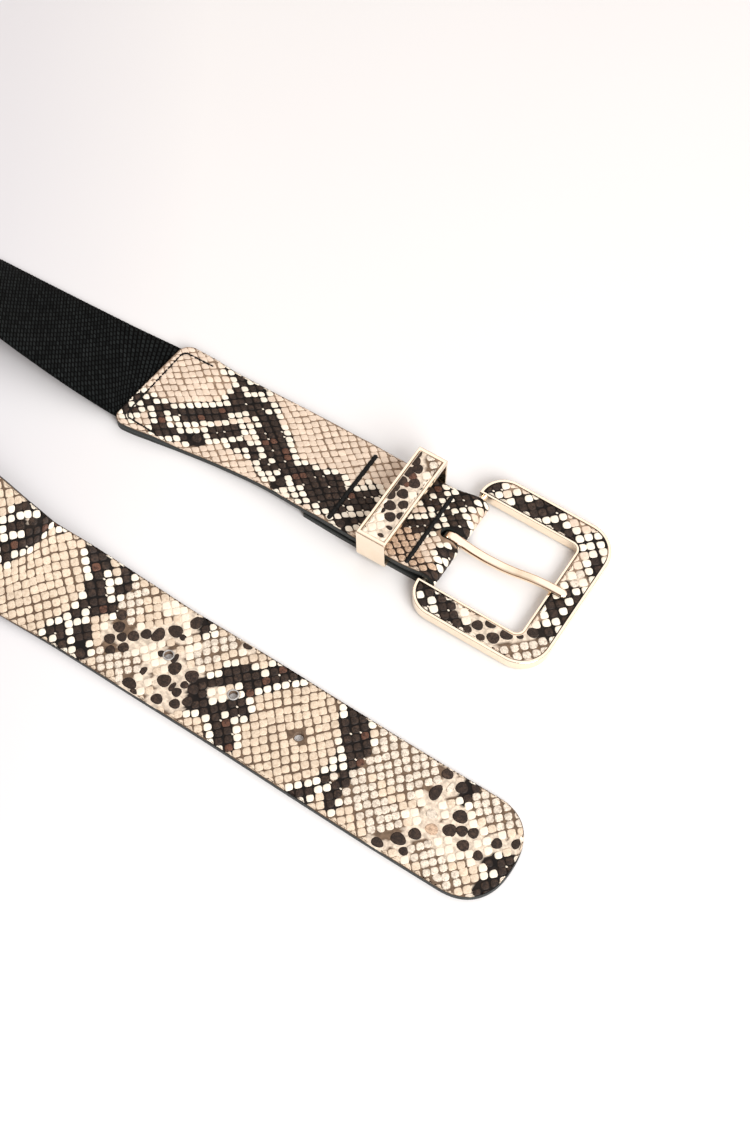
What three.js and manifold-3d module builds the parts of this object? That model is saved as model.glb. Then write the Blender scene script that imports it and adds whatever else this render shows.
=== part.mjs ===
// Elastic belt: two snake-print leather ends, one with a buckle and keeper, joined by black elastic.
// The leather ends lie side by side and the elastic goes round behind them on its edge, in one loop.
// Millimetres, Z up. X runs along the leather ends towards the buckle, Y from the tip to the buckle end.
import * as THREE from 'three'
import { mergeVertices } from 'three/addons/utils/BufferGeometryUtils.js'
import Module from 'manifold-3d'

const wasm = await Module()
wasm.setup()

// Leather and elastic
const strapWidth = 36.6
const leatherThickness = 2.4
const sandwichThickness = 4
const webbingWidth = 36.8
const webbingThickness = 1.4
const pocketClearance = 0.2
const pocketDepth = 14.5
const webbingHeight = (sandwichThickness - webbingThickness) / 2

// Crossbar, and the fold of the tab round it
const barX = 19
const barRadius = 1.2
const runningGap = 0.3
const foldInnerRadius = barRadius + runningGap
const foldOuterRadius = foldInnerRadius + leatherThickness
const barZ = foldOuterRadius

// Buckle tab: the lap is the stretch that is folded back under the strap
const tabEndX = { far: -106.8, near: -110.3 }
const tabCornerRadius = 4.6
const lapEndX = -31
const slot = { x: 14.4, y: 19.5, width: 5.6, mouthRadius: 1.6 }

// Tip strap
const tipX = 97.2
const tipCurveLength = 17
const tipCurvePower = 2.4
const tipStrapEndX = -148
const holes = { x: -12, pitch: 26.5, radius: 1.7, count: 3 }

// Buckle frame, measured from the crossbar's axis
const frame = { y: 20.4, back: 1.75, front: 49.8, width: 61.5, thickness: 4.4 }
const opening = { front: 38.2, width: 40.5, cornerRadius: 2.5 }
const frameCorner = { front: 11.5, back: 9.5 }
const rim = { outer: 1.1, inner: 0.9 }
const recessDepth = 1.5
const inlayThickness = 1

// Prong
const prong = { y: 19.6, width: 3.2, tipWidthShare: 0.8, loopRadius: 2.7, yawDeg: 1.9 }
const prongLeavesLoopDeg = { bottom: 10, top: 64 }

// Keeper
const keeper = { x: -0.9, y: 18.7, length: 11.4, topWidth: 41.2, bottomWidth: 40.8, top: 17.5 }
const keeperWall = { side: 1, top: 2.3, bottom: 0.9 }
const keeperCornerRadius = 1.3
const keeperRim = 1.1

// Tab seen from above: its far and near edges
const tabPlan = [
  { x: -111, far: 38.8, near: -2.7 },
  { x: -104, far: 38.8, near: -2.4 },
  { x: -94, far: 38.7, near: -1 },
  { x: -82, far: 38.6, near: 0.7 },
  { x: -66, far: 38.4, near: 2.3 },
  { x: -50, far: 38.2, near: 3 },
  { x: -31, far: 37.6, near: 2.1 },
  { x: -14, far: 36.9, near: 1.5 },
  { x: 6, far: 36.9, near: 1.3 },
  { x: 24, far: 37.9, near: 1.3 },
]

// Tab seen from the side: the height of the upper layer's underside, and its thickness
const tabSide = [
  { x: -110, underside: 0, thickness: sandwichThickness },
  { x: -94, underside: 0, thickness: sandwichThickness },
  { x: -82, underside: 0.3, thickness: leatherThickness },
  { x: -31, underside: 3.1, thickness: leatherThickness },
  { x: -22, underside: 3.9, thickness: leatherThickness },
  { x: 9, underside: 3.9, thickness: leatherThickness },
  { x: barX, underside: barZ + foldInnerRadius, thickness: leatherThickness },
]

// Elastic behind the tab: where its far edge lies, how high, and how far the ribbon has rolled up
const tabSideRun = [
  { x: -290, edge: 29.5, lift: 0, roll: 90 },
  { x: -250, edge: 30.8, lift: 0, roll: 70 },
  { x: -215, edge: 32, lift: 0, roll: 45 },
  { x: -189, edge: 33, lift: 0, roll: 30 },
  { x: -167, edge: 33.8, lift: 0, roll: 20 },
  { x: -147, edge: 34.6, lift: 0, roll: 12.5 },
  { x: -127, edge: 35.5, lift: 0, roll: 5.5 },
  { x: -115, edge: 36.3, lift: 0, roll: 1.5 },
  { x: -106, edge: 36.8, lift: 0, roll: 0 },
  { x: -92, edge: 36.9, lift: 0, roll: 0 },
]

// Tip strap and the elastic behind it: the same columns for the near edge
const tipSideRun = [
  { x: -290, edge: -78, lift: 0, roll: 90 },
  { x: -250, edge: -78.4, lift: 0, roll: 80 },
  { x: -215, edge: -78.9, lift: 1, roll: 66 },
  { x: -180, edge: -79.8, lift: 3, roll: 50 },
  { x: -148, edge: -81.2, lift: 4.5, roll: 37 },
  { x: -125, edge: -83.4, lift: 3.6, roll: 28 },
  { x: -110, edge: -85.2, lift: 2, roll: 23 },
  { x: -96, edge: -86.4, lift: 0.6, roll: 18 },
  { x: -86, edge: -86.2, lift: 0, roll: 13 },
  { x: -75, edge: -86.1, lift: 0, roll: 7 },
  { x: -62, edge: -86.3, lift: 0, roll: 3 },
  { x: -38, edge: -86.9, lift: 0, roll: 0 },
  { x: -16, edge: -87.3, lift: 0, roll: 0 },
  { x: 24, edge: -88.6, lift: 0, roll: 0 },
  { x: 60, edge: -89.6, lift: 0, roll: 0 },
  { x: 98, edge: -90, lift: 0, roll: 0 },
]

// Width and thickness of the tip strap, which flares towards the elastic
const tipStrapBody = [
  { x: -148, width: 40.4, thickness: sandwichThickness },
  { x: -134, width: 40, thickness: sandwichThickness },
  { x: -124, width: 38.9, thickness: leatherThickness },
  { x: -110, width: 37.5, thickness: leatherThickness },
  { x: -94, width: strapWidth, thickness: leatherThickness },
  { x: 98, width: strapWidth, thickness: leatherThickness },
]

// Prong seen from the side, from where it leaves its loop to its tip; it sags, then rises onto the far bar
const prongSide = [
  { x: 5, bottom: 0.2, top: 2.2 },
  { x: 9, bottom: -0.5, top: 1.6 },
  { x: 14, bottom: -1, top: 1.2 },
  { x: 19, bottom: -0.9, top: 1.3 },
  { x: 24, bottom: -0.1, top: 2 },
  { x: 28, bottom: 1, top: 3.1 },
  { x: 33, bottom: 2.1, top: 4.2 },
  { x: 37.5, bottom: 2.5, top: 4.55 },
  { x: 41, bottom: 2.52, top: 4.45 },
  { x: 43.4, bottom: 2.6, top: 4.15 },
  { x: 44.2, bottom: 2.9, top: 3.6 },
]

// A table's column at x, on a curve through its rows that never swings past them
function along(rows, column, x) {
  const place = THREE.MathUtils.clamp(x, rows[0].x, rows.at(-1).x)
  const i = Math.min(rows.findLastIndex((row) => row.x <= place), rows.length - 2)
  const rise = (k) => (rows[k + 1][column] - rows[k][column]) / (rows[k + 1].x - rows[k].x)
  const slopeAt = (k) => {
    if (k === 0 || k === rows.length - 1) return 0
    const [before, after] = [rise(k - 1), rise(k)]
    return before * after > 0 ? (2 * before * after) / (before + after) : 0
  }
  const span = rows[i + 1].x - rows[i].x
  const t = (place - rows[i].x) / span
  const blend = t * t * (3 - 2 * t)
  const value = THREE.MathUtils.lerp(rows[i][column], rows[i + 1][column], blend)
  return value + span * t * (1 - t) * (slopeAt(i) * (1 - t) - slopeAt(i + 1) * t)
}

// Evenly spaced values from start to end, both included
function spaced(start, end, step) {
  const count = Math.ceil(Math.abs(end - start) / step)
  return Array.from({ length: count + 1 }, (_, i) => THREE.MathUtils.lerp(start, end, i / count))
}

function solidFrom(geometry) {
  const bare = geometry.index ? geometry.toNonIndexed() : geometry.clone()
  bare.deleteAttribute('normal')
  bare.deleteAttribute('uv')
  const merged = mergeVertices(bare, 1e-4)
  return new wasm.Manifold(new wasm.Mesh({
    numProp: 3,
    vertProperties: new Float32Array(merged.attributes.position.array),
    triVerts: new Uint32Array(merged.index.array),
  }))
}

function geometryFrom(solid) {
  const { vertProperties, triVerts } = solid.getMesh()
  const geometry = new THREE.BufferGeometry()
  geometry.setAttribute('position', new THREE.BufferAttribute(new Float32Array(vertProperties), 3))
  geometry.setIndex(new THREE.BufferAttribute(new Uint32Array(triVerts), 1))
  return geometry
}

function namedMesh(name, solid, material) {
  const mesh = new THREE.Mesh(geometryFrom(solid), material)
  mesh.name = name
  return mesh
}

// Plan outline made solid between two heights
function uprightSolid(shape, low, high, curveSegments = 10) {
  const settings = { depth: high - low, bevelEnabled: false, curveSegments }
  return solidFrom(new THREE.ExtrudeGeometry(shape, settings).translate(0, 0, low))
}

// Side outline (x, z) made solid across Y
function sidewaysSolid(shape, low, high, curveSegments = 10) {
  const settings = { depth: high - low, bevelEnabled: false, curveSegments }
  const geometry = new THREE.ExtrudeGeometry(shape, settings)
  return solidFrom(geometry.rotateX(Math.PI / 2).translate(0, high, 0))
}

// A ribbon's place at one station: edge point, inward direction in plan, lift and roll
function runStation(rows, inwardSign, x) {
  const slope = (along(rows, 'edge', x + 1) - along(rows, 'edge', x - 1)) / 2
  return {
    x,
    edge: new THREE.Vector3(x, along(rows, 'edge', x), along(rows, 'lift', x)),
    inward: new THREE.Vector3(-slope, 1, 0).multiplyScalar(inwardSign).normalize(),
    roll: THREE.MathUtils.degToRad(along(rows, 'roll', x)),
  }
}

// Stations round the back of the loop, where the ribbon stands on its edge
function turnStations(stepDeg) {
  const [start, end] = [tabSideRun[0], tipSideRun[0]]
  const radius = (start.edge - end.edge) / 2
  const centre = new THREE.Vector3(start.x, (start.edge + end.edge) / 2, 0)
  return spaced(90 + stepDeg, 270 - stepDeg, stepDeg).map((deg) => {
    const angle = THREE.MathUtils.degToRad(deg)
    const outward = new THREE.Vector3(Math.cos(angle), Math.sin(angle), 0)
    return {
      edge: centre.clone().addScaledVector(outward, radius),
      inward: outward.clone().negate(),
      roll: Math.PI / 2,
    }
  })
}

// Closed ribbon through its stations; width, thickness and height are functions of the station
function ribbonSolid(stations, width, thickness, height) {
  const points = []
  for (const station of stations) {
    const across = station.inward.clone().multiplyScalar(Math.cos(station.roll))
    across.z += Math.sin(station.roll)
    const outward = station.inward.clone().multiplyScalar(-Math.sin(station.roll))
    outward.z += Math.cos(station.roll)
    const half = width(station) / 2
    const low = height(station)
    const high = low + thickness(station)
    const middle = station.edge.clone().addScaledVector(across, webbingWidth / 2)
    for (const [u, v] of [[-half, low], [half, low], [half, high], [-half, high]]) {
      points.push(middle.clone().addScaledVector(across, u).addScaledVector(outward, v))
    }
  }
  const faces = [0, 2, 1, 0, 3, 2]
  for (let s = 0; s < stations.length - 1; s++) {
    for (let k = 0; k < 4; k++) {
      const [a, b] = [4 * s + k, 4 * s + ((k + 1) % 4)]
      faces.push(a, b, a + 4, b, b + 4, a + 4)
    }
  }
  const last = 4 * (stations.length - 1)
  faces.push(last, last + 1, last + 2, last, last + 2, last + 3)
  const geometry = new THREE.BufferGeometry().setFromPoints(points)
  return solidFrom(geometry.setIndex(faces))
}

// The elastic's stations: out of the tab, round the turn and into the tip strap
function webbingStations(pocketShare) {
  const tabStart = (tabEndX.far + tabEndX.near) / 2 + pocketDepth * pocketShare
  const tipEnd = tipStrapEndX + pocketDepth * pocketShare
  return [
    ...spaced(tabStart, tabSideRun[0].x, 6).map((x) => runStation(tabSideRun, -1, x)),
    ...turnStations(7.5),
    ...spaced(tipSideRun[0].x, tipEnd, 6).map((x) => runStation(tipSideRun, 1, x)),
  ]
}

const webbingSolid = ribbonSolid(webbingStations(1), () => webbingWidth, () => webbingThickness,
  () => webbingHeight)

// The space that the elastic takes in both leather ends
const pocketSolid = ribbonSolid(webbingStations(1 + pocketClearance / pocketDepth),
  () => webbingWidth + 2 * pocketClearance, () => webbingThickness + 2 * pocketClearance,
  () => webbingHeight - pocketClearance)

// Side outline of the tab: a hairpin of leather, open towards the lap's end
function tabSideOutline() {
  const xs = spaced(tabSide[0].x, barX, 4)
  const top = xs.map((x) => new THREE.Vector2(x, along(tabSide, 'underside', x)
    + along(tabSide, 'thickness', x)))
  const underside = xs.map((x) => new THREE.Vector2(x, along(tabSide, 'underside', x))).reverse()
  const shape = new THREE.Shape(top)
  shape.absarc(barX, barZ, foldOuterRadius, Math.PI / 2, -Math.PI / 2, true)
  shape.lineTo(lapEndX, 0)
  shape.lineTo(lapEndX, leatherThickness)
  shape.lineTo(barX, leatherThickness)
  shape.absarc(barX, barZ, foldInnerRadius, -Math.PI / 2, Math.PI / 2, false)
  for (const point of underside.slice(1)) shape.lineTo(point.x, point.y)
  return shape
}

function tabPlanOutline() {
  const frontX = barX + foldOuterRadius + 1
  const straightXs = spaced(tabEndX.far + tabCornerRadius, frontX, 4)
  const far = straightXs.map((x) => new THREE.Vector2(x, along(tabPlan, 'far', x)))
  const near = straightXs.map((x) => new THREE.Vector2(x, along(tabPlan, 'near', x)))
  const farCorner = new THREE.Vector2(tabEndX.far, far[0].y)
  const nearCorner = new THREE.Vector2(tabEndX.near, along(tabPlan, 'near', tabEndX.near))
  const shape = new THREE.Shape(near)
  for (const point of far.toReversed()) shape.lineTo(point.x, point.y)
  shape.quadraticCurveTo(farCorner.x, farCorner.y, farCorner.x, farCorner.y - tabCornerRadius)
  shape.lineTo(nearCorner.x, nearCorner.y + tabCornerRadius)
  shape.quadraticCurveTo(nearCorner.x, nearCorner.y, near[0].x, near[0].y)
  return shape
}

// The prong's slot, open at the fold, where its mouth is rounded off
function slotOutline() {
  const half = slot.width / 2
  const mouthX = barX + foldOuterRadius
  const r = slot.mouthRadius
  const shape = new THREE.Shape()
  shape.absarc(slot.x + half, slot.y, half, Math.PI / 2, (3 * Math.PI) / 2, false)
  shape.lineTo(mouthX - r, slot.y - half)
  shape.quadraticCurveTo(mouthX, slot.y - half, mouthX, slot.y - half - r)
  shape.lineTo(mouthX + 2, slot.y - half - r)
  shape.lineTo(mouthX + 2, slot.y + half + r)
  shape.lineTo(mouthX, slot.y + half + r)
  shape.quadraticCurveTo(mouthX, slot.y + half, mouthX - r, slot.y + half)
  return shape
}

function buckleTabSolid() {
  const [low, high] = [-2, 2 * barZ + 2]
  return sidewaysSolid(tabSideOutline(), -10, 50, 14)
    .intersect(uprightSolid(tabPlanOutline(), low, high))
    .subtract(uprightSolid(slotOutline(), low, high))
    .subtract(pocketSolid)
}

// The tip strap narrows to a rounded end
function tipStrapWidth(x) {
  const t = Math.max(0, (x - (tipX - tipCurveLength)) / tipCurveLength)
  return along(tipStrapBody, 'width', x) * (1 - t ** tipCurvePower) ** (1 / tipCurvePower)
}

function tipStrapSolid() {
  const curveStart = tipX - tipCurveLength
  const curveXs = spaced(0, 86, 7).map((deg) =>
    curveStart + tipCurveLength * Math.sin(THREE.MathUtils.degToRad(deg)) ** 0.8)
  const xs = [...spaced(tipStrapEndX, curveStart, 6), ...curveXs.slice(1)]
  let solid = ribbonSolid(xs.map((x) => runStation(tipSideRun, 1, x)),
    (station) => tipStrapWidth(station.x),
    (station) => along(tipStrapBody, 'thickness', station.x),
    () => 0)
  for (let i = 0; i < holes.count; i++) {
    const x = holes.x + (i - (holes.count - 1) / 2) * holes.pitch
    const y = along(tipSideRun, 'edge', x) + webbingWidth / 2
    const punch = new THREE.CylinderGeometry(holes.radius, holes.radius, 4 * leatherThickness, 20)
    solid = solid.subtract(solidFrom(punch.rotateX(Math.PI / 2).translate(x, y, leatherThickness / 2)))
  }
  return solid.subtract(pocketSolid)
}

// Rectangle from back to front and across a width, with its own radius at each end's two corners
function roundedOutline(back, front, width, backRadius, frontRadius) {
  const half = width / 2
  const shape = new THREE.Shape()
  shape.absarc(front - frontRadius, half - frontRadius, frontRadius, 0, Math.PI / 2, false)
  shape.absarc(back + backRadius, half - backRadius, backRadius, Math.PI / 2, Math.PI, false)
  shape.absarc(back + backRadius, backRadius - half, backRadius, Math.PI, (3 * Math.PI) / 2, false)
  shape.absarc(front - frontRadius, frontRadius - half, frontRadius, (3 * Math.PI) / 2, 2 * Math.PI, false)
  return shape
}

// The C that both the frame's recess and its inlay follow, shrunk by a margin on every side
function frameStripSolid(margin, low, high) {
  const outer = rim.outer + margin
  const inner = rim.inner + margin
  const outline = roundedOutline(-frame.back + outer, frame.front - outer, frame.width - 2 * outer,
    frameCorner.back - outer, frameCorner.front - outer)
  const inside = roundedOutline(-frame.back - 10, opening.front + inner, opening.width + 2 * inner,
    0.5, opening.cornerRadius + inner)
  return uprightSolid(outline, low, high, 14).subtract(uprightSolid(inside, low - 1, high + 1, 14))
}

function frameSolid() {
  const half = frame.thickness / 2
  const outline = roundedOutline(-frame.back, frame.front, frame.width, frameCorner.back, frameCorner.front)
  const inside = roundedOutline(-frame.back - 10, opening.front, opening.width, 0.5, opening.cornerRadius)
  const bar = new THREE.CylinderGeometry(barRadius, barRadius, opening.width + 2, 24)
  return uprightSolid(outline, -half, half, 14)
    .subtract(uprightSolid(inside, -half - 1, half + 1, 14))
    .subtract(frameStripSolid(0, half - recessDepth, half + 1))
    .add(solidFrom(bar))
}

function frameInlaySolid() {
  const low = frame.thickness / 2 - recessDepth + runningGap
  return frameStripSolid(0.15, low, low + inlayThickness)
}

// The prong tapers and leans a little to one side past its loop
function prongSolid() {
  const { degToRad, lerp } = THREE.MathUtils
  const shape = new THREE.Shape()
  shape.absarc(0, 0, prong.loopRadius, degToRad(prongLeavesLoopDeg.bottom),
    degToRad(prongLeavesLoopDeg.top), true)
  shape.splineThru(prongSide.map(({ x, top }) => new THREE.Vector2(x, top)))
  const end = prongSide.at(-1)
  shape.lineTo(end.x, end.bottom)
  shape.splineThru(prongSide.slice(0, -1).reverse().map(({ x, bottom }) => new THREE.Vector2(x, bottom)))
  shape.holes.push(new THREE.Path().absarc(0, 0, foldInnerRadius, 0, 2 * Math.PI, false))
  const half = prong.width / 2
  const geometry = geometryFrom(sidewaysSolid(shape, -half, half, 6))
  const position = geometry.attributes.position
  const lean = Math.tan(degToRad(prong.yawDeg))
  for (let i = 0; i < position.count; i++) {
    const past = Math.max(0, position.getX(i))
    const share = lerp(1, prong.tipWidthShare, past / end.x)
    position.setY(i, position.getY(i) * share + past * lean)
  }
  return solidFrom(geometry)
}

// Keeper seen along the strap: a box that narrows towards its bottom bar
function keeperOutline(inset, bottomInset, topInset) {
  const bottom = leatherThickness + runningGap + bottomInset
  const top = keeper.top - topInset
  const halfTop = keeper.topWidth / 2 - inset
  const halfBottom = keeper.bottomWidth / 2 - inset
  const r = Math.max(0.4, keeperCornerRadius - inset)
  const shape = new THREE.Shape()
  shape.moveTo(halfBottom - r, bottom)
  shape.quadraticCurveTo(halfBottom, bottom, halfBottom, bottom + r)
  shape.lineTo(halfTop, top - r / 2)
  shape.quadraticCurveTo(halfTop, top, halfTop - r / 2, top)
  shape.lineTo(-halfTop + r / 2, top)
  shape.quadraticCurveTo(-halfTop, top, -halfTop, top - r / 2)
  shape.lineTo(-halfBottom, bottom + r)
  shape.quadraticCurveTo(-halfBottom, bottom, -halfBottom + r, bottom)
  return shape
}

// Turns a solid that was extruded across Y so that it runs along X
function turnedAlongX(solid) {
  return solidFrom(geometryFrom(solid).rotateZ(Math.PI / 2))
}

function keeperStripSolid(margin, low, high) {
  const length = keeper.length - 2 * (keeperRim + margin)
  const width = keeper.topWidth - 2 * (keeperRim + margin)
  return uprightSolid(roundedOutline(-length / 2, length / 2, width, 0.6, 0.6), low, high, 4)
}

function keeperSolid() {
  const half = keeper.length / 2
  const outer = sidewaysSolid(keeperOutline(0, 0, 0), -half, half, 5)
  const inner = sidewaysSolid(keeperOutline(keeperWall.side, keeperWall.bottom, keeperWall.top),
    -half - 1, half + 1, 5)
  return turnedAlongX(outer.subtract(inner))
    .subtract(keeperStripSolid(0, keeper.top - recessDepth, keeper.top + 1))
}

function keeperInlaySolid() {
  const low = keeper.top - recessDepth + runningGap
  return keeperStripSolid(0.15, low, low + inlayThickness)
}

const material = (color, roughness, metalness) =>
  new THREE.MeshStandardMaterial({ color, roughness, metalness })
const snakeLeather = () => material('#e6d0b4', 0.5, 0)
const elastic = () => material('#141617', 0.9, 0)
const goldPlate = () => material('#e8bd88', 0.2, 1)

const belt = new THREE.Group()
belt.add(namedMesh('elastic_webbing', webbingSolid, elastic()))
belt.add(namedMesh('buckle_tab', buckleTabSolid(), snakeLeather()))
belt.add(namedMesh('tip_strap', tipStrapSolid(), snakeLeather()))

// The buckle hangs on the crossbar's axis and leans until its far bar touches the table
const buckle = new THREE.Group()
buckle.position.set(barX, frame.y, barZ)
buckle.rotation.y = Math.asin((barZ - frame.thickness / 2) / frame.front)
buckle.add(namedMesh('buckle_frame', frameSolid(), goldPlate()))
buckle.add(namedMesh('buckle_inlay', frameInlaySolid(), snakeLeather()))
const prongMesh = namedMesh('prong', prongSolid(), goldPlate())
prongMesh.position.y = prong.y - frame.y
buckle.add(prongMesh)
belt.add(buckle)

const keeperGroup = new THREE.Group()
keeperGroup.position.set(keeper.x, keeper.y, 0)
keeperGroup.add(namedMesh('keeper', keeperSolid(), goldPlate()))
keeperGroup.add(namedMesh('keeper_inlay', keeperInlaySolid(), snakeLeather()))
belt.add(keeperGroup)

// The origin is the centre of the bounding box's underside
const bounds = new THREE.Box3().setFromObject(belt, true)
const centre = bounds.getCenter(new THREE.Vector3())
belt.position.set(-centre.x, -centre.y, -bounds.min.z)

export default belt
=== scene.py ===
import math
import random

import bmesh
import bpy
from mathutils import Matrix, Vector, noise


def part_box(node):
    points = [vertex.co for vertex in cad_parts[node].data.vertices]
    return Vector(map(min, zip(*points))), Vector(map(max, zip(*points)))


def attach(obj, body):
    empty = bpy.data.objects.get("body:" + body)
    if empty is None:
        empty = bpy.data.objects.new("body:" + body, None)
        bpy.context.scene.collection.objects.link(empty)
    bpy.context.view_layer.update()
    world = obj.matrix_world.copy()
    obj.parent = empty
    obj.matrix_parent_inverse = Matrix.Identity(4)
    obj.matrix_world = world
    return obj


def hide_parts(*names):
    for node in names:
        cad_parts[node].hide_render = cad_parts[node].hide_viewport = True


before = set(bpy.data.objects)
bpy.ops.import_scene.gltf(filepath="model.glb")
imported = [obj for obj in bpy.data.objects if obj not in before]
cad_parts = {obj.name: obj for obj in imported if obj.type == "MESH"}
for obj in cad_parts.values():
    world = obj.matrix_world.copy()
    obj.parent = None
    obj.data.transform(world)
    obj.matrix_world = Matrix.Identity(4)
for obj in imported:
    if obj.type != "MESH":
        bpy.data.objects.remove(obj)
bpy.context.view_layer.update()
mm = 0.001

# Strap coordinates: x along the leather ends towards the buckle, y across them, in mm
keeper = {"x": -0.9, "y": 18.7, "length": 11.4, "topWidth": 41.2, "bottomWidth": 40.8, "top": 17.5,
          "bottom": 2.7, "sideWall": 1.0, "topWall": 2.3, "bottomWall": 0.9, "corner": 1.3, "rim": 1.0,
          "recess": 1.5, "inlayDrop": 1.2, "inlayThick": 1.0}
webbing = {"width": 36.8, "thickness": 1.4, "height": 1.3, "ribPitch": 1.4, "ribDepth": 0.12,
           "ribSlant": -0.62, "tabEnd": -94.2, "tipEnd": -133.6}  # both ends lie inside the leather
keeperLow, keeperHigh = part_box("keeper")
originX = (keeperLow[0] + keeperHigh[0]) / 2 - keeper["x"] * mm
originY = (keeperLow[1] + keeperHigh[1]) / 2 - keeper["y"] * mm


def toRow(point):
    return Vector((originX + point[0] * mm, originY + point[1] * mm, point[2] * mm))


def clamp(value, low=0.0, high=1.0):
    return max(low, min(high, value))


def lerp(a, b, t):
    return a + (b - a) * t


def along(rows, column, x):  # a column of a table at x, on a curve that never swings past its rows
    xs = [row[0] for row in rows]
    place = clamp(x, xs[0], xs[-1])
    i = min(max(k for k in range(len(xs)) if xs[k] <= place), len(xs) - 2)
    rises = [(rows[k + 1][column] - rows[k][column]) / (xs[k + 1] - xs[k]) for k in range(len(xs) - 1)]

    def slopeAt(k):
        if k == 0 or k == len(xs) - 1 or rises[k - 1] * rises[k] <= 0:
            return 0.0
        return 2 * rises[k - 1] * rises[k] / (rises[k - 1] + rises[k])

    span = xs[i + 1] - xs[i]
    t = (place - xs[i]) / span
    value = lerp(rows[i][column], rows[i + 1][column], t * t * (3 - 2 * t))
    return value + span * t * (1 - t) * (slopeAt(i) * (1 - t) - slopeAt(i + 1) * t)


# Materials
def linear(hexText):  # sRGB hex to the linear values that nodes take
    channels = [int(hexText[i:i + 2], 16) / 255 for i in (1, 3, 5)]
    return tuple(c / 12.92 if c <= 0.04045 else ((c + 0.055) / 1.055) ** 2.4 for c in channels) + (1.0,)


def addNode(tree, kind, inputs=None, **settings):
    node = tree.nodes.new(kind)
    for name, value in settings.items():
        setattr(node, name, value)
    for key, value in (inputs or {}).items():
        if isinstance(value, bpy.types.NodeSocket):
            tree.links.new(value, node.inputs[key])
        else:
            node.inputs[key].default_value = value
    return node


def newMaterial(name, **surface):
    material = bpy.data.materials.new(name)
    material.use_nodes = True
    tree = material.node_tree
    shader = tree.nodes["Principled BSDF"]
    for key, value in surface.items():
        shader.inputs[key.replace("_", " ")].default_value = value
    return material, tree, shader


def ramp(tree, value, stops):
    node = addNode(tree, "ShaderNodeValToRGB", {"Fac": value})
    elements = node.color_ramp.elements
    while len(elements) < len(stops):
        elements.new(0.5)
    for element, (place, colour) in zip(elements, stops):
        element.position = place
        element.color = linear(colour) if isinstance(colour, str) else (colour, colour, colour, 1.0)
    return node.outputs["Color"]


def mixColour(tree, share, first, second, blend="MIX"):
    return addNode(tree, "ShaderNodeMix", {0: share, 6: first, 7: second},
                   data_type="RGBA", blend_type=blend).outputs[2]


def bump(tree, shader, height, strength, distance):
    node = addNode(tree, "ShaderNodeBump", {"Height": height, "Strength": strength, "Distance": distance})
    tree.links.new(node.outputs["Normal"], shader.inputs["Normal"])


def noiseOn(tree, place, size, detail=3.0, roughness=0.55):  # size is that of one blotch, in the place's unit
    return addNode(tree, "ShaderNodeTexNoise", {"Vector": place, "Scale": 1 / size, "Detail": detail,
                                                "Roughness": roughness}).outputs["Fac"]


def uvPlace(tree):
    return addNode(tree, "ShaderNodeUVMap", uv_map="flat").outputs["UV"]


def attribute(tree, name, output="Color"):
    return addNode(tree, "ShaderNodeAttribute", attribute_name=name).outputs[output]


def makePrintedScale():
    # Embossed and foil-printed split leather: the raised scales are glossy, the ink on them is cloudy
    material, tree, shader = newMaterial("printedScaleLeather", Roughness=0.5, Specular_IOR_Level=0.2)
    place = uvPlace(tree)
    clouds = ramp(tree, noiseOn(tree, place, 1.5, 5.0, 0.7), [(0.46, 0.0), (0.62, 1.0)])
    grains = ramp(tree, noiseOn(tree, place, 0.42, 2.0), [(0.5, 0.0), (0.66, 1.0)])
    ink = addNode(tree, "ShaderNodeMath", {0: clouds, 1: grains}, operation="MAXIMUM").outputs[0]
    share = addNode(tree, "ShaderNodeMath", {0: ink, 1: attribute(tree, "speckle", "Fac")},
                    operation="MULTIPLY").outputs[0]
    colour = mixColour(tree, share, attribute(tree, "scaleColour"), attribute(tree, "speckColour"))
    tree.links.new(colour, shader.inputs["Base Color"])
    bump(tree, shader, noiseOn(tree, place, 0.5, 4.0, 0.6), 0.18, 0.0002)
    return material


def makePrintedGround():
    # The sunk lines between the scales: the same leather, where the ink has pooled
    material, tree, shader = newMaterial("printedGroundLeather", Roughness=0.7, Specular_IOR_Level=0.2)
    place = uvPlace(tree)
    shade = ramp(tree, noiseOn(tree, place, 1.6, 3.0), [(0.38, 0.6), (0.62, 1.0)])
    colour = mixColour(tree, 1.0, attribute(tree, "groundColour"), shade, "MULTIPLY")
    tree.links.new(colour, shader.inputs["Base Color"])
    bump(tree, shader, noiseOn(tree, place, 0.3, 3.0), 0.3, 0.0002)
    return material


def makeEdgePaint():
    # Acrylic edge paint, brushed on in coats: satin, with fine lines along the glued layers; the pale line
    # halfway up is also a painted highlight
    material, tree, shader = newMaterial("paintedLeatherEdge", Roughness=0.55, Specular_IOR_Level=0.3)
    depth = attribute(tree, "layer", "Fac")
    # The pale grey band halfway up is the glue line and also a painted highlight along the rounded edge
    layerLinesAndHighlight = ramp(tree, depth, [(0.0, "#202423"), (0.44, "#272b2a"), (0.5, "#565d5b"), (0.56, "#232726"),
                               (0.8, "#2e3332"), (1.0, "#191c1b")])
    streaks = ramp(tree, noiseOn(tree, uvPlace(tree), 1.6, 3.0), [(0.35, 0.82), (0.7, 1.0)])
    tree.links.new(mixColour(tree, 1.0, layerLinesAndHighlight, streaks, "MULTIPLY"), shader.inputs["Base Color"])
    bump(tree, shader, noiseOn(tree, uvPlace(tree), 0.7, 3.0), 0.2, 0.0002)
    return material


def makeRawEdgeAndHoleShade():
    # Unpainted split leather where the holes are punched: dull greyish tan, fibrous; the tan is also painted
    # shade for the holes' shaded insides
    material, tree, shader = newMaterial("rawEdgeAndPaintedHoleShade", Roughness=0.9, Specular_IOR_Level=0.2)
    fibres = noiseOn(tree, uvPlace(tree), 0.3, 4.0)
    tree.links.new(ramp(tree, fibres, [(0.3, "#6f5c4d"), (0.7, "#978270")]), shader.inputs["Base Color"])
    bump(tree, shader, fibres, 0.3, 0.0002)
    return material


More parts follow.
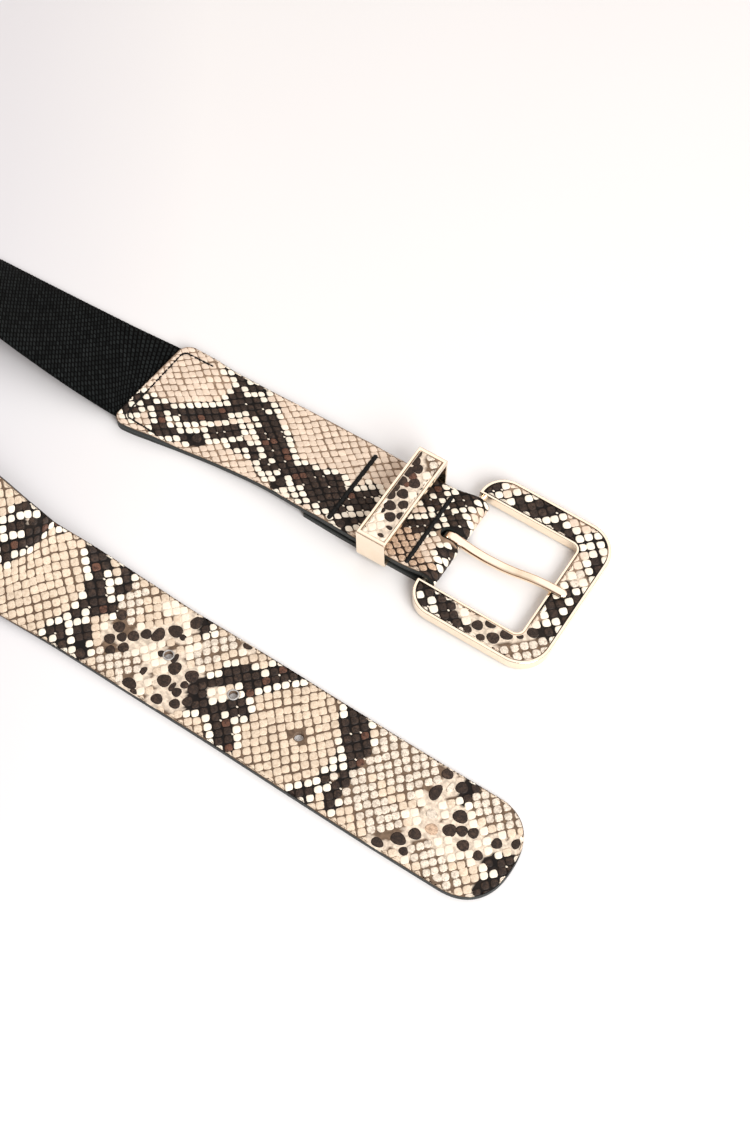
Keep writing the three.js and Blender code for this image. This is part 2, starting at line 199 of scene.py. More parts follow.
def makePressedRimAndHighlight():
    # A pale grey satin ring round a hole: the punch's pressed rim, and a painted highlight along the hole's edge
    material, tree, shader = newMaterial("pressedRimPaintedHighlight", Roughness=0.3, Specular_IOR_Level=0.5)
    grain = noiseOn(tree, addNode(tree, "ShaderNodeTexCoord").outputs["Object"], 0.0008, 2.0)
    tree.links.new(ramp(tree, grain, [(0.3, "#8d8c8a"), (0.7, "#b9b8b5")]), shader.inputs["Base Color"])
    return material


def makeLining():
    # Bonded suede lining, black, on the sides that lie down
    material, tree, shader = newMaterial("suedeLining", Roughness=0.9, Sheen_Weight=0.3)
    nap = noiseOn(tree, uvPlace(tree), 0.35, 4.0, 0.7)
    tree.links.new(ramp(tree, nap, [(0.3, "#1b1b1c"), (0.7, "#2b2b2c")]), shader.inputs["Base Color"])
    bump(tree, shader, nap, 0.4, 0.0002)
    return material


def makeElastic():
    # Woven rubber and polyester elastic: matt black, rows of short yarns lying side by side like laid bricks
    material, tree, shader = newMaterial("ribbedElastic", Roughness=0.85, Specular_IOR_Level=0.08)
    place = uvPlace(tree)
    yarns = addNode(tree, "ShaderNodeTexBrick", {"Vector": place, "Color1": linear("#242828"),
                                                 "Color2": linear("#131616"), "Mortar": linear("#000000"),
                                                 "Scale": 1.0, "Mortar Size": 0.32, "Mortar Smooth": 0.5,
                                                 "Brick Width": 2.1, "Row Height": webbing["ribPitch"]})
    patches = ramp(tree, noiseOn(tree, place, 9.0, 2.0), [(0.3, 0.75), (0.7, 1.0)])
    colour = mixColour(tree, 1.0, yarns.outputs["Color"], patches, "MULTIPLY")
    tree.links.new(colour, shader.inputs["Base Color"])
    raisedYarn = addNode(tree, "ShaderNodeMath", {0: 1.0, 1: yarns.outputs["Fac"]}, operation="SUBTRACT")
    bump(tree, shader, raisedYarn.outputs[0], 0.8, 0.0005)
    return material


def makeThread():
    # Bonded polyester thread: twisted, with a slight sheen
    material, tree, shader = newMaterial("bondedThread", Roughness=0.7, Specular_IOR_Level=0.2)
    place = addNode(tree, "ShaderNodeTexCoord").outputs["Object"]
    twist = noiseOn(tree, place, 0.0004, 3.0)
    tree.links.new(ramp(tree, twist, [(0.3, "#080808"), (0.7, "#171818")]), shader.inputs["Base Color"])
    bump(tree, shader, twist, 0.5, 0.0002)
    return material


def makeGoldPlate():
    # Zinc alloy with light rose-gold plate, polished: sharp reflections, a trace of tumbling haze
    material, tree, shader = newMaterial("roseGoldPlate", Metallic=1.0)
    place = addNode(tree, "ShaderNodeTexCoord").outputs["Object"]
    haze = noiseOn(tree, place, 0.006, 4.0, 0.6)
    tree.links.new(ramp(tree, haze, [(0.3, "#fde9cf"), (0.7, "#feefda")]), shader.inputs["Base Color"])
    rough = addNode(tree, "ShaderNodeMapRange", {"Value": haze, "From Min": 0.3, "From Max": 0.7,
                                                 "To Min": 0.1, "To Max": 0.16}).outputs[0]
    tree.links.new(rough, shader.inputs["Roughness"])
    bump(tree, shader, noiseOn(tree, place, 0.0012, 2.0), 0.03, 0.0001)
    return material


printedScale = makePrintedScale()
printedGround = makePrintedGround()
edgePaint = makeEdgePaint()
rawEdgeAndHoleShade = makeRawEdgeAndHoleShade()
pressedRimAndHighlight = makePressedRimAndHighlight()
suedeLining = makeLining()
ribbedElastic = makeElastic()
bondedThread = makeThread()
roseGold = makeGoldPlate()
print("materials made")


# Print
# Each stroke is x0, y0, x1, y1, width in mm; a scale whose middle is under one takes that tone
tones = {
    "pale": {"scale": "#e4d2bf", "speck": "#c4a98f", "speckle": 0.4, "rimSpeckle": 0.3, "ground": "#97806b",
             "gap": 0.13, "square": 4.6},
    "cream": {"scale": "#dfceb8", "speck": "#a58c72", "speckle": 0.45, "rimSpeckle": 0.6, "ground": "#6f5b4a",
              "gap": 0.13, "square": 4.4},
    "white": {"scale": "#f5eddc", "speck": "#dcc8b1", "speckle": 0.25, "rimSpeckle": 0.2, "ground": "#1f1814",
              "gap": 0.3, "square": 3.4},
    "mottled": {"scale": "#eadecd", "speck": "#6a5a4b", "speckle": 0.5, "rimSpeckle": 1.0, "ground": "#766250",
                "gap": 0.16, "square": 3.0},
    "tan": {"scale": "#d6b99e", "speck": "#6d5443", "speckle": 0.6, "rimSpeckle": 0.8, "ground": "#3c2d24",
            "gap": 0.2, "square": 3.4},
    "dark": {"scale": "#241d19", "speck": "#59463a", "speckle": 0.6, "rimSpeckle": 0.1, "ground": "#110d0b",
             "gap": 0.12, "square": 3.6},
    "brown": {"scale": "#6b4a3b", "speck": "#1f1613", "speckle": 0.8, "rimSpeckle": 0.9, "ground": "#120c0a",
              "gap": 0.2, "square": 3.4},
    "bare": {"scale": "#f1e5d3", "speck": "#d9c5ae", "speckle": 0.35, "rimSpeckle": 0.35, "ground": "#e4d4c0",
             "gap": 0.1, "square": 4.0},
}

tabPrint = {
    "cell": (4.3, 3.4), "whiteReach": 2.4, "seed": 3, "base": "pale",
    "blobs": [(-44, 7.4, 2, 2), (-80, 7.4, 2, 1.9), (-16.5, 3.5, 1.9, 1.7)],
    "dark": [(-110, 5, -106, 3.4, 3.3), (-107, 10.7, -99, 10.3, 2.1), (-99, 10.6, -91, 12.6, 2.8),
             (-97, 8, -93, 3, 3.4), (-93, 2.8, -85, 5.4, 2.6), (-85, 5.8, -79.6, 7.6, 2.6),
             (-89, 13, -76, 25, 5.4), (-77, 28, -72, 31, 6.2), (-80.5, 37, -71, 37, 3),
             (-79, 33, -77, 30, 3.3), (-72, 31.5, -63.6, 32, 2.5), (-72, 28.4, -61.5, 27, 3.8),
             (-62, 25.5, -53, 22, 4.1), (-62.6, 22, -61, 21.6, 2.6), (-77, 11.6, -69, 18.6, 3),
             (-67.5, 12.8, -64, 12.6, 2.8), (-60, 14, -51, 8.6, 2.6), (-45, 8.2, -43, 6.4, 3.3),
             (-58, 21, -48, 15.6, 6.1), (-48, 14, -36, 13.2, 6.6), (-37, 13.6, -21, 12.4, 8.7),
             (-31, 8, -21, 7, 4.1), (-31, 17.6, -26, 17.6, 3.3), (-20, 16, -14.5, 20.4, 3),
             (-14, 19.5, -12, 17, 3.3), (-20.5, 10.4, -12, 15.4, 3.1), (-14.5, 7, -11, 9.4, 3.4),
             (-16.6, 3.6, -15.4, 3.6, 2.6), (1, 36, 4, 37, 3.3), (2, 33.4, 8, 32.4, 3),
             (1, 29, 9, 26.6, 3.6), (4, 16, 9.6, 21, 4.3), (10, 24, 9, 17, 2.8), (11, 37.4, 20, 37.4, 2.5),
             (12, 34.4, 17, 35.4, 3.8), (12, 31, 16, 31.6, 2.6), (12, 27.4, 18, 25, 3.8),
             (17, 23.4, 24, 23.4, 3.6), (20.5, 12, 24, 13.4, 3.3), (20.4, 3, 24, 5, 4.1),
             (-86.4, 38.4, -81, 38.2, 1.8), (26, 8, 34, 14, 4.9), (28, 26, 40, 33, 5.7), (44, 12, 60, 24, 6.6)],
    "brown": [(-79, 22.4, -78, 22.8, 2.6), (-84.6, 15.6, -83, 15.8, 2.6), (-73.6, 28.6, -72.6, 28.6, 2.4),
              (-57.2, 19.6, -55.4, 19.4, 3), (-49.2, 17.8, -47.6, 17.4, 3), (-40.6, 13.4, -38, 13.2, 3),
              (-31, 12, -29.6, 12.2, 2.6), (-95, 6.6, -94, 6, 2), (-19, 15, -17.4, 15.2, 2.4),
              (4.4, 33, 5.4, 33, 2), (19, 24, 20, 23.8, 2.6), (-26, 8.4, -25, 8.4, 2.2)],
    "white": [(-98.8, 7.6, -98, 7.4, 3), (-104.4, 6.8, -103.4, 6.8, 3), (-75.8, 33.2, -75, 33.2, 3.4),
              (-77.4, 37.8, -76.4, 37.8, 2), (-14.8, 17.2, -14, 17.2, 2), (-38.5, 6.8, -33, 4.6, 4.6),
              (8, 31, 8.8, 30.8, 3), (8.6, 35, 9.4, 35, 2.6)],
    "mottled": [],
    "tan": [(2, 8, 9, 6, 9), (3, 12.5, 8, 12.5, 5), (12, 4, 19, 4, 5)],
    "bare": [(-40, 5, -32, 4.4, 3)],
}

tipPrint = {
    "cell": (4.05, 4.4), "whiteReach": 2.0, "seed": 8, "base": "cream",
    "dark": [(-103, 37, -93.6, 37.4, 3.8), (-99.6, 34.4, -103, 24.6, 4.6), (-103, 26, -106.4, 20.6, 5),
             (-106, 19.6, -105.2, 16.8, 2.6), (-110.6, 33, -108, 35.6, 2.6), (-111, 26.6, -108.6, 28.4, 3.2),
             (-79, 36.4, -72.4, 25, 5.6), (-73, 23, -69, 19.6, 4.4), (-72.2, 19, -73, 11, 2.6),
             (-75, 8.4, -77.4, 3, 2.6), (-74, 5, -71, 2, 3.4), (-68, 37, -65, 29.4, 3.4),
             (-65, 23.6, -62.6, 21, 2.6), (-68, 9.6, -64, 3.4, 4), (-34.2, 36.4, -33, 33, 2.6),
             (-22, 14, -19.6, 10.4, 5), (-20, 19, -18, 20.4, 3), (-17, 24, -10, 28, 5.4),
             (-9.6, 24, -3, 32, 4.8), (-5, 34.6, 2, 36.4, 4.6), (-19.6, 7.6, -12, 12, 3.4),
             (-12, 13, -6, 15, 4), (-11, 8, -5, 5, 4.4), (-9, 4, -3, 2.6, 3.6), (-9, 19, -6.6, 15, 2.6),
             (22.6, 37, 29, 36, 3.4), (25.6, 33.6, 33.6, 26, 6.8), (31, 22, 35, 19, 4.2),
             (31, 16.8, 36, 16, 2.6), (30.4, 12, 31, 8, 2.6), (35, 13, 37, 5, 3.4), (27, 3.2, 27.4, 2.6, 4.4),
             (24.6, 1, 25.4, 0.6, 2), (71.6, 35.4, 72.6, 31, 2.6), (95.6, 19, 91, 16.6, 3.2),
             (96, 17, 93.4, 7, 3.6), (-124, 30, -118, 20, 6), (-118, 22, -112, 8, 6), (-134, 14, -128, 30, 7),
             (-146, 4, -138, 12, 7)],
    "brown": [(-99.6, 33.6, -99.4, 31, 2.6), (-104.6, 23.6, -104.4, 22, 2.6), (-75.8, 30.6, -75.4, 30, 2.6),
              (-67.6, 20, -67, 19.8, 2.6), (-6, 28, -5.8, 28, 3.2), (-4, 35, -3.8, 35, 3.2),
              (-9, 21.6, -8.6, 20, 2.6), (-9, 9, -8.6, 9, 3), (-3.4, 2, -3, 1.6, 3), (31.4, 31.4, 31.6, 31, 3),
              (35, 21.6, 35.2, 21.4, 2.8), (-96, 36.6, -95.6, 36.6, 2.4)],
    "white": [(-9.2, 31.6, -9, 31.4, 3.2), (26, 27, 30.6, 20, 3)],
    "mottled": [(-61, 31, -54, 5, 8), (-48, 12, -46, 5, 6), (-30, 24, -24, 34, 8), (40, 34, 58, 33, 8),
                (38, 26, 57, 25, 10), (38, 14, 55, 9, 12), (78, 32, 88, 32, 8), (70, 8, 76, 6, 8),
                (79, 2.6, 84, 6, 6)],
    "tan": [],
    "bare": [(-47, 17, -41, 13, 6), (-40, 7, -38, 4, 4), (-62, 15, -50, 13, 4), (-18.6, 15, -15, 16.5, 4.6),
             (60, 23, 68, 24, 5), (60, 16, 72, 15, 5), (72, 13, 79, 12, 5), (-50, 33, -42, 34, 5),
             (-34, 22, -31, 27, 3), (84, 19, 88, 19, 3)],
    "blobs": [(-60.5, 21.5, 2, 2), (-58.5, 17.5, 2.2, 2.1), (-55.5, 15, 1.8, 1.8), (-52.5, 17.5, 2.1, 2.1),
              (-49.5, 20.5, 2, 2), (-58.5, 12.3, 2, 2), (-52.7, 12.2, 2, 2), (-55.8, 9, 1.8, 1.8),
              (-46, 22.6, 2.2, 3), (-42, 27, 2.8, 2.4), (-38.5, 26.5, 1.3, 1.3), (-38, 33.5, 2.2, 2.8),
              (-63.5, 2.5, 2, 1.8), (-43, 2.8, 2.8, 2), (-40, 1.2, 1.5, 1), (-42, 9, 1.2, 1.8),
              (-41, 17.5, 1.3, 1.3), (-36, 18.6, 1.2, 2), (-33.8, 15.6, 2.4, 2.6), (-34, 10, 2.6, 2.5),
              (-30.4, 9.6, 1, 2), (-27.2, 16.3, 2.5, 2.5), (-32, 3.2, 2.2, 2), (-28, 8.8, 1.8, 1.8),
              (-24, 12.7, 2, 2), (-26, 5, 2, 1.9), (-23, 8, 1.8, 2), (-27.4, 12.4, 1.5, 1.5),
              (-18.5, 36, 1.8, 1.5), (-105, 32.5, 1.7, 1.7), (62.8, 27, 2, 3.2), (62.6, 34.6, 2.1, 2),
              (69, 33, 2.2, 2.2), (74, 24.3, 2.7, 2.4), (77, 20.4, 2.1, 2), (80.5, 21.8, 1.9, 2),
              (73.6, 18.4, 2.4, 2.4), (80, 16.4, 2.2, 2.1), (85.7, 16, 1.8, 1.9), (88.7, 22.8, 1.9, 2),
              (94, 26, 1.5, 2), (90, 15.8, 1.5, 1.5), (92, 5.4, 1.2, 1.5), (65, 11.3, 2.3, 2.1),
              (61.5, 7, 2.8, 2.2), (56.6, 2.3, 2.3, 1.7), (65.2, 4.4, 1.7, 1.6), (66, 31, 1.2, 2, "mottled"),
              (65.8, 20, 2, 1.8, "mottled"), (68.6, 15.6, 2.3, 2, "tan"), (79, 2.8, 1.8, 1.4, "mottled")],
}

framePrint = {
    "cell": (4.6, 4.6), "whiteReach": 3.2, "seed": 5, "base": "pale",
    "dark": [(-1, 22, 1.4, 24.4, 4), (17, 28.6, 24, 29.2, 3.6), (12, 22.6, 20, 26, 4.8), (25, 22.8, 35, 22, 2.8),
             (37, 21.4, 40.4, 24.4, 2.2), (41, 26, 43, 23.6, 1.6), (46, 17.6, 48, 15.6, 2.6), (44.4, 3, 48, 3, 3),
             (47.6, 1, 48, -6, 3), (41.4, -3, 43, -5, 4.4), (45.4, -14, 47, -12.6, 2.6), (0, -22, 12, -24, 4.2),
             (10, -23, 18, -28.4, 4.2), (4, -28.8, 6.4, -29, 2)],
    "brown": [(16.6, 26.6, 17, 26.6, 2.4), (20.4, 27, 20.8, 27, 2.4)],
    "white": [(6, -26, 7, -26, 4)],
    "mottled": [(41, -26, 47, -20, 7), (36, -27, 38, -26, 4), (43, 7, 45, 11, 3)],
    "tan": [],
    "bare": [(15, -22.4, 22, -24, 4), (41, 9, 46, 9, 3)],
    "blobs": [(28, -21.7, 2.1, 2), (34.5, -22.4, 2.4, 2.2), (24.6, -24.8, 2.1, 2), (31.4, -26, 2.4, 2.2),
              (22.6, -28, 1.7, 1.4), (27.8, -28.2, 1.7, 1.4), (41.5, -17, 2.2, 2), (38.6, -20.4, 1.3, 1.3)],
}

keeperPrint = {
    "cell": (4.4, 4.6), "whiteReach": 0.0, "seed": 2, "base": "pale",
    "dark": [], "brown": [], "white": [], "tan": [],
    "mottled": [(0, 36, 3.4, 31, 4)], "bare": [(-4, -2, -4, 10, 8), (2, 18, 3, 30, 4), (1, -1, 3, 5, 3)],
    "blobs": [(-0.1, 25.2, 2.2, 2.2), (-1.2, 19.5, 2.2, 2.1), (-4.6, 17, 1.9, 2.1), (-2.4, 13.2, 2.3, 2.1),
              (1.3, 15.8, 1.9, 2), (0, 9.4, 2.2, 2), (2.8, 11.6, 1.4, 1.7), (2.2, 5.6, 1.3, 0.8),
              (1.3, 1.6, 1.2, 0.8), (-3.3, 10.4, 0.7, 1.2), (-4.3, 23.8, 2.3, 2), (-4.8, 20.4, 1.7, 1.8),
              (-4.2, 28.2, 2.2, 2.3), (-2.2, 30.8, 2, 2), (-4.3, 33, 1.7, 2), (-5.2, 36.2, 1.2, 1.8),
              (-2, 27.3, 1.5, 1.6, "brown"), (-2.2, 23.4, 1.2, 1.2, "brown")],
}


def strokeDistance(strokes, x, y):
    best = 99.0
    for x0, y0, x1, y1, width in strokes:
        dx, dy = x1 - x0, y1 - y0
        t = clamp(((x - x0) * dx + (y - y0) * dy) / max(dx * dx + dy * dy, 1e-6))
        best = min(best, math.hypot(x - x0 - t * dx, y - y0 - t * dy) - width / 2)
    return best


def blobAt(chart, x, y, reach):
    for blob in chart["blobs"]:
        if math.hypot((x - blob[0]) / (blob[2] + reach), (y - blob[1]) / (blob[3] + reach)) < 1:
            return blob
    return None


def blobTone(blob):
    return blob[4] if len(blob) > 4 else "dark"


def toneAt(chart, x, y):
    for name in ("white", "brown", "dark", "tan", "bare", "mottled"):
        if strokeDistance(chart[name], x, y) < 0:
            return name
    if strokeDistance(chart["dark"], x, y) < chart["whiteReach"]:
        return "white"
    return "bare" if blobAt(chart, x, y, 1.6) else chart["base"]


def groundAt(chart, x, y):
    return linear(tones[toneAt(chart, x, y)]["ground"])


def keepInside(x, y, distance, margin):  # moves a point in from an outline until it is margin inside
    for _ in range(4):
        lack = margin - distance(x, y)
        if lack <= 0:
            break
        step = 0.04
        gx = (distance(x + step, y) - distance(x - step, y)) / (2 * step)
        gy = (distance(x, y + step) - distance(x, y - step)) / (2 * step)
        size = max(gx * gx + gy * gy, 0.05)
        x += gx * lack / size
        y += gy * lack / size
    return x, y


def tint(hexText, amount):
    r, g, b, a = linear(hexText)
    return (clamp(r * amount), clamp(g * amount), clamp(b * amount), a)


def addScale(bm, layers, outline, tone, distance, raised, sunk=0.15):
    # One raised scale: outline gives its edge at an angle and a share of its full size
    made = bmesh.ops.create_cone(bm, cap_ends=True, segments=16, radius1=1.0, radius2=0.93, depth=2.0)
    scaleTint = tint(tone["scale"], random.uniform(0.9, 1.06))
    speckTint = tint(tone["speck"], random.uniform(0.7, 1.15))
    for vert in made["verts"]:
        x, y = outline(math.atan2(vert.co.y, vert.co.x), math.hypot(vert.co.x, vert.co.y))
        x, y = keepInside(x, y, distance, 0.2 if vert.co.z < 0 else 0.3)
        vert.co = (x, y, -sunk if vert.co.z < 0 else raised)
        vert[layers[0]], vert[layers[1]], vert[layers[2]] = scaleTint, speckTint, tone["rimSpeckle"]


def scalesMesh(name, chart, xRange, yRange, distance, openings, toSurface, raised=0.1, pillow=0.06):
    # Staggered rows of raised scales and the chart's round ones, laid flat, then carried onto the surface
    random.seed(chart["seed"])
    bm = bmesh.new()
    layers = (bm.verts.layers.float_color.new("scaleColour"), bm.verts.layers.float_color.new("speckColour"),
              bm.verts.layers.float.new("speckle"))
    width, height = chart["cell"]

    def inside(x, y):
        return min(distance(x, y), openings(x, y))

    for row in range(int(yRange[0] * 2 / height) - 1, int(yRange[1] * 2 / height) + 2):
        for column in range(int(xRange[0] / width) - 1, int(xRange[1] / width) + 2):
            cx = (column + 0.5 * (row % 2)) * width
            cy = row * height / 2
            for size, amount in ((11.0, 0.8), (3.7, 0.45)):
                drift = noise.noise_vector(Vector((cx / size, cy / size, chart["seed"])))
                cx, cy = cx + amount * drift.x, cy + amount * drift.y
            if distance(cx, cy) < -1.2 or openings(cx, cy) < 0.45 or blobAt(chart, cx, cy, 0.8):
                continue
            if not xRange[0] < cx < xRange[1]:
                continue
            toneName = toneAt(chart, cx, cy)
            tone = tones[toneName]
            gap, power = tone["gap"] * random.uniform(0.6, 1.5), tone["square"] * random.uniform(0.85, 1.2)
            halfX, halfY = (width - gap * 1.4) / 2, (height - gap * 1.4) / 2
            turn = random.uniform(0, 2 * math.pi)

            def rhombus(angle, reach):
                a, b = math.cos(angle + math.pi / 4), math.sin(angle + math.pi / 4)
                size = 0.5 * reach * (abs(a) ** power + abs(b) ** power) ** (-1 / power)
                size *= 1 + 0.04 * math.cos(3 * angle + turn)
                return cx + (a + b) * size * halfX, cy + (b - a) * size * halfY

            def fleck(angle, reach):  # a small light spot at a dark scale's corner
                return cx + width / 2 + math.cos(angle) * reach * 0.5, cy + math.sin(angle) * reach * 0.3

            addScale(bm, layers, rhombus, tone, inside, raised)
            if toneName == "dark" and random.random() < 0.22 and distance(cx + width / 2, cy) > 0.8:
                addScale(bm, layers, fleck, tones["white"], inside, raised)
    for blob in chart["blobs"]:
        turn = random.uniform(0, math.pi)

        def oval(angle, reach):
            uneven = 1 + 0.06 * math.cos(3 * angle + turn)
            return (blob[0] + math.cos(angle) * blob[2] * reach * uneven,
                    blob[1] + math.sin(angle) * blob[3] * reach * uneven)

        if distance(blob[0], blob[1]) > -0.6:
            addScale(bm, layers, oval, tones[blobTone(blob)], inside, raised)
    tops = [face for face in bm.faces if len(face.verts) > 4 and face.calc_center_median().z > raised * 0.99]
    bmesh.ops.inset_individual(bm, faces=tops, thickness=0.32, depth=pillow, use_even_offset=False)
    for face in tops:
        middle = face.calc_center_median()
        blob = blobAt(chart, middle.x, middle.y, 0)
        toneName = blobTone(blob) if blob else toneAt(chart, middle.x, middle.y)
        for vert in face.verts:
            vert[layers[2]] = tones[toneName]["speckle"]
    for middle in bmesh.ops.poke(bm, faces=tops, offset=0.03, use_relative_offset=False)["verts"]:
        rimVert = middle.link_edges[0].other_vert(middle)
        for layer in layers:
            middle[layer] = rimVert[layer]
    uvLayer = bm.loops.layers.uv.new("flat")
    for face in bm.faces:
        face.smooth = True
        for loop in face.loops:
            loop[uvLayer].uv = loop.vert.co.xy
    for vert in bm.verts:
        vert.co = toSurface(vert.co.x, vert.co.y, vert.co.z)
    return finishMesh(name, bm, [printedScale])


def finishMesh(name, bm, materials, sharpDeg=None):
    if sharpDeg is not None:
        for face in bm.faces:
            face.smooth = True
        for edge in bm.edges:
            if len(edge.link_faces) == 2 and edge.calc_face_angle() > math.radians(sharpDeg):
                edge.smooth = False
    mesh = bpy.data.meshes.new(name)
    bm.to_mesh(mesh)
    bm.free()
    for material in materials:
        mesh.materials.append(material)
    piece = bpy.data.objects.new(name, mesh)
    bpy.context.collection.objects.link(piece)
    return piece


def smoothFaces(bm):
    for face in bm.faces:
        face.smooth = True


def vertsIn(geom):
    return [item for item in geom if isinstance(item, bmesh.types.BMVert)]


def closedLoop(bm, points):
    verts = [bm.verts.new(point) for point in points]
    return verts, [bm.edges.new((a, b)) for a, b in zip(verts, verts[1:] + verts[:1])]


def carry(bm, toSpace):
    for vert in bm.verts:
        vert.co = toSpace(*vert.co)


def flatCutter(outline, low, high):  # an upright prism over an outline, for cutting flat leather
    bm = bmesh.new()
    face = bm.faces.new([bm.verts.new((x, y, low)) for x, y in outline])
    top = bmesh.ops.extrude_face_region(bm, geom=[face])
    bmesh.ops.translate(bm, verts=vertsIn(top["geom"]), vec=(0, 0, high - low))
    bmesh.ops.recalc_face_normals(bm, faces=bm.faces)
    return finishMesh("cutter", bm, [])


def flatLeather(name, xs, rowsAcross, thickness, place, distance, cutters):
    # A flat slab of leather, cut to its outline and punched: place gives x and y for each station and share
    bm = bmesh.new()
    bmesh.ops.create_grid(bm, x_segments=len(xs) - 1, y_segments=rowsAcross, size=1.0)
    for vert in bm.verts:
        i = round((vert.co.x + 1) / 2 * (len(xs) - 1))
        x, y = place(xs[i], (vert.co.y + 1) / 2)
        x, y = keepInside(x, y, distance, 0.0)
        vert.co = (x, y, 0)
    upper = bmesh.ops.extrude_face_region(bm, geom=list(bm.faces))
    for vert in vertsIn(upper["geom"]):
        vert.co.z = thickness
    bmesh.ops.recalc_face_normals(bm, faces=bm.faces)
    slab = finishMesh(name, bm, [])
    for outline in cutters:
        cutter = flatCutter(outline, -1, thickness + 1)
        cut = slab.modifiers.new("cut", "BOOLEAN")
        cut.object, cut.operation, cut.solver = cutter, "DIFFERENCE", "EXACT"
        applyModifiers(slab)
        bpy.data.objects.remove(cutter)
    bm = bmesh.new()
    bm.from_mesh(slab.data)
    rims = [e for e in bm.edges if len(e.link_faces) == 2 and e.calc_face_angle() > math.radians(60)
            and (e.verts[0].co.z > thickness * 0.9) == (e.verts[1].co.z > thickness * 0.9)]
    bmesh.ops.bevel(bm, geom=rims, offset=0.32, segments=2, profile=0.5, affect="EDGES", material=-1,
                    clamp_overlap=True)
    bm.to_mesh(slab.data)
    bm.free()
    return slab


def applyModifiers(piece):
    evaluated = piece.evaluated_get(bpy.context.evaluated_depsgraph_get())
    mesh = bpy.data.meshes.new_from_object(evaluated)
    piece.modifiers.clear()
    piece.data = mesh


def dressLeather(piece, chart, thickness, toSpace, seams, inkOnTopOnly, isPunched=None):
    # Gives flat leather its print, painted edge and lining, then bends it to where it lies
    bm = bmesh.new()
    bm.from_mesh(piece.data)
    ground = bm.verts.layers.float_color.new("groundColour")
    layer = bm.verts.layers.float.new("layer")
    uvLayer = bm.loops.layers.uv.new("flat")
    for vert in bm.verts:
        vert[ground] = groundAt(chart, vert.co.x, vert.co.y)
        vert[layer] = vert.co.z / thickness
    for face in bm.faces:
        middle = face.calc_center_median()
        face.normal_update()
        upright = face.normal.z
        face.material_index = 0 if upright > 0.97 else 2 if upright < -0.9 and inkOnTopOnly else 1
        # Punched hole walls take the raw tan, which is also painted shade inside the holes
        if face.material_index == 1 and isPunched and isPunched(middle.x, middle.y):
            face.material_index = 3
        face.smooth = True
        for loop in face.loops:
            x, y, z = loop.vert.co
            loop[uvLayer].uv = (x, y) if abs(upright) > 0.9 else (x + middle.y, y + z)
    for edge in bm.edges:
        if len(edge.link_faces) == 2 and edge.calc_face_angle() > math.radians(50):
            edge.smooth = False
    for vert in bm.verts:
        x, y, z = vert.co
        z -= seamDip(seams, x, y) if z > thickness / 2 else 0
        vert.co = toSpace(x, y, z)
    bm.to_mesh(piece.data)
    bm.free()
    for material in (printedGround, edgePaint, suedeLining, rawEdgeAndHoleShade):
        piece.data.materials.append(material)


def seamDip(seams, x, y, depth=0.35, reach=0.9):  # how far a line of stitches pulls the surface down
    near = min((strokeDistance([(*a, *b, 0)], x, y) for seam in seams for a, b in zip(seam, seam[1:])),
               default=9.0)
    return depth * clamp(1 - near / reach)


# Stitches in mm: the fine seam along the elastic's ends, and the heavy ones across the tab
seamStitch = {"pitch": 1.7, "length": 1.75, "thick": 0.8, "sink": 0.2}
crossStitch = {"pitch": 2.6, "length": 3.3, "thick": 1.9, "sink": 0.35}


def stitchRow(bm, line, stitch, toSurface):
    # Thread that dips into the leather at each hole: one rounded bar a stitch
    points = [Vector(p) for p in line]
    spans = [(b - a).length for a, b in zip(points, points[1:])]
    total = sum(spans)
    count = max(1, round(total / stitch["pitch"]))
    for i in range(count):
        ends = []
        middle = (i + 0.5) / count * total
        for place in (middle - stitch["length"] / 2, middle + stitch["length"] / 2):
            k, rest = 0, clamp(place, 0, total)
            while k < len(spans) - 1 and rest > spans[k]:
                rest -= spans[k]
                k += 1
            ends.append(points[k].lerp(points[k + 1], clamp(rest / spans[k])))
        start = toSurface(ends[0].x, ends[0].y, stitch["sink"])
        end = toSurface(ends[1].x, ends[1].y, stitch["sink"])
        turn = (end - start).to_track_quat("X", "Z").to_matrix().to_4x4()
        made = bmesh.ops.create_uvsphere(bm, u_segments=8, v_segments=6, radius=1.0)
        bmesh.ops.rotate(bm, verts=made["verts"], matrix=Matrix.Rotation(math.pi / 2, 3, "Y"))
        half = (end - start).length / 2
        for vert in made["verts"]:
            blunt = math.copysign(abs(vert.co.x) ** 0.5, vert.co.x)
            vert.co = Vector((blunt * half, vert.co.y * stitch["thick"] * mm / 2,
                              vert.co.z * stitch["thick"] * mm * 0.45))
            vert.co = turn @ vert.co + (start + end) / 2


# Buckle tab
tab = {"barX": 19.0, "barZ": 3.9, "foldInner": 1.5, "leather": 2.4, "lapEnd": -31.0, "slotX": 14.5, "slotY": 19.6,
       "slotHalf": 2.25, "mouthFlare": 0.25, "endFar": -106.8, "endNear": -110.3, "corner": 4.6,
       "seam": [(-92.4, 35.7), (-104.2, 35.4), (-105.3, 34), (-106.9, 3), (-105.6, 1.1), (-93.6, 0.6)],
       "crossStitches": [(-21.1, 2.9, -21.0, 33.9), (10.9, 2.4, 10.4, 33.6)]}
tabPlan = [(-111, 38.8, -2.7), (-104, 38.8, -2.4), (-94, 38.7, -1.0), (-82, 38.6, 0.7), (-66, 38.4, 2.3),
           (-50, 38.2, 3.0), (-31, 37.6, 2.1), (-14, 36.9, 1.5), (6, 36.9, 1.3), (24, 37.9, 1.3)]  # x, far, near
tabSide = [(-110, 0.0, 4.0), (-94, 0.0, 4.0), (-82, 0.3, 2.4), (-31, 3.1, 2.4), (-22, 3.9, 2.4), (9, 3.9, 2.4),
           (19, 5.4, 2.4)]  # x, underside, thickness
foldArc = math.pi * (tab["foldInner"] + tab["leather"] / 2)
lapLength = tab["barX"] - tab["lapEnd"]
tabEnd = tab["barX"] + foldArc + lapLength


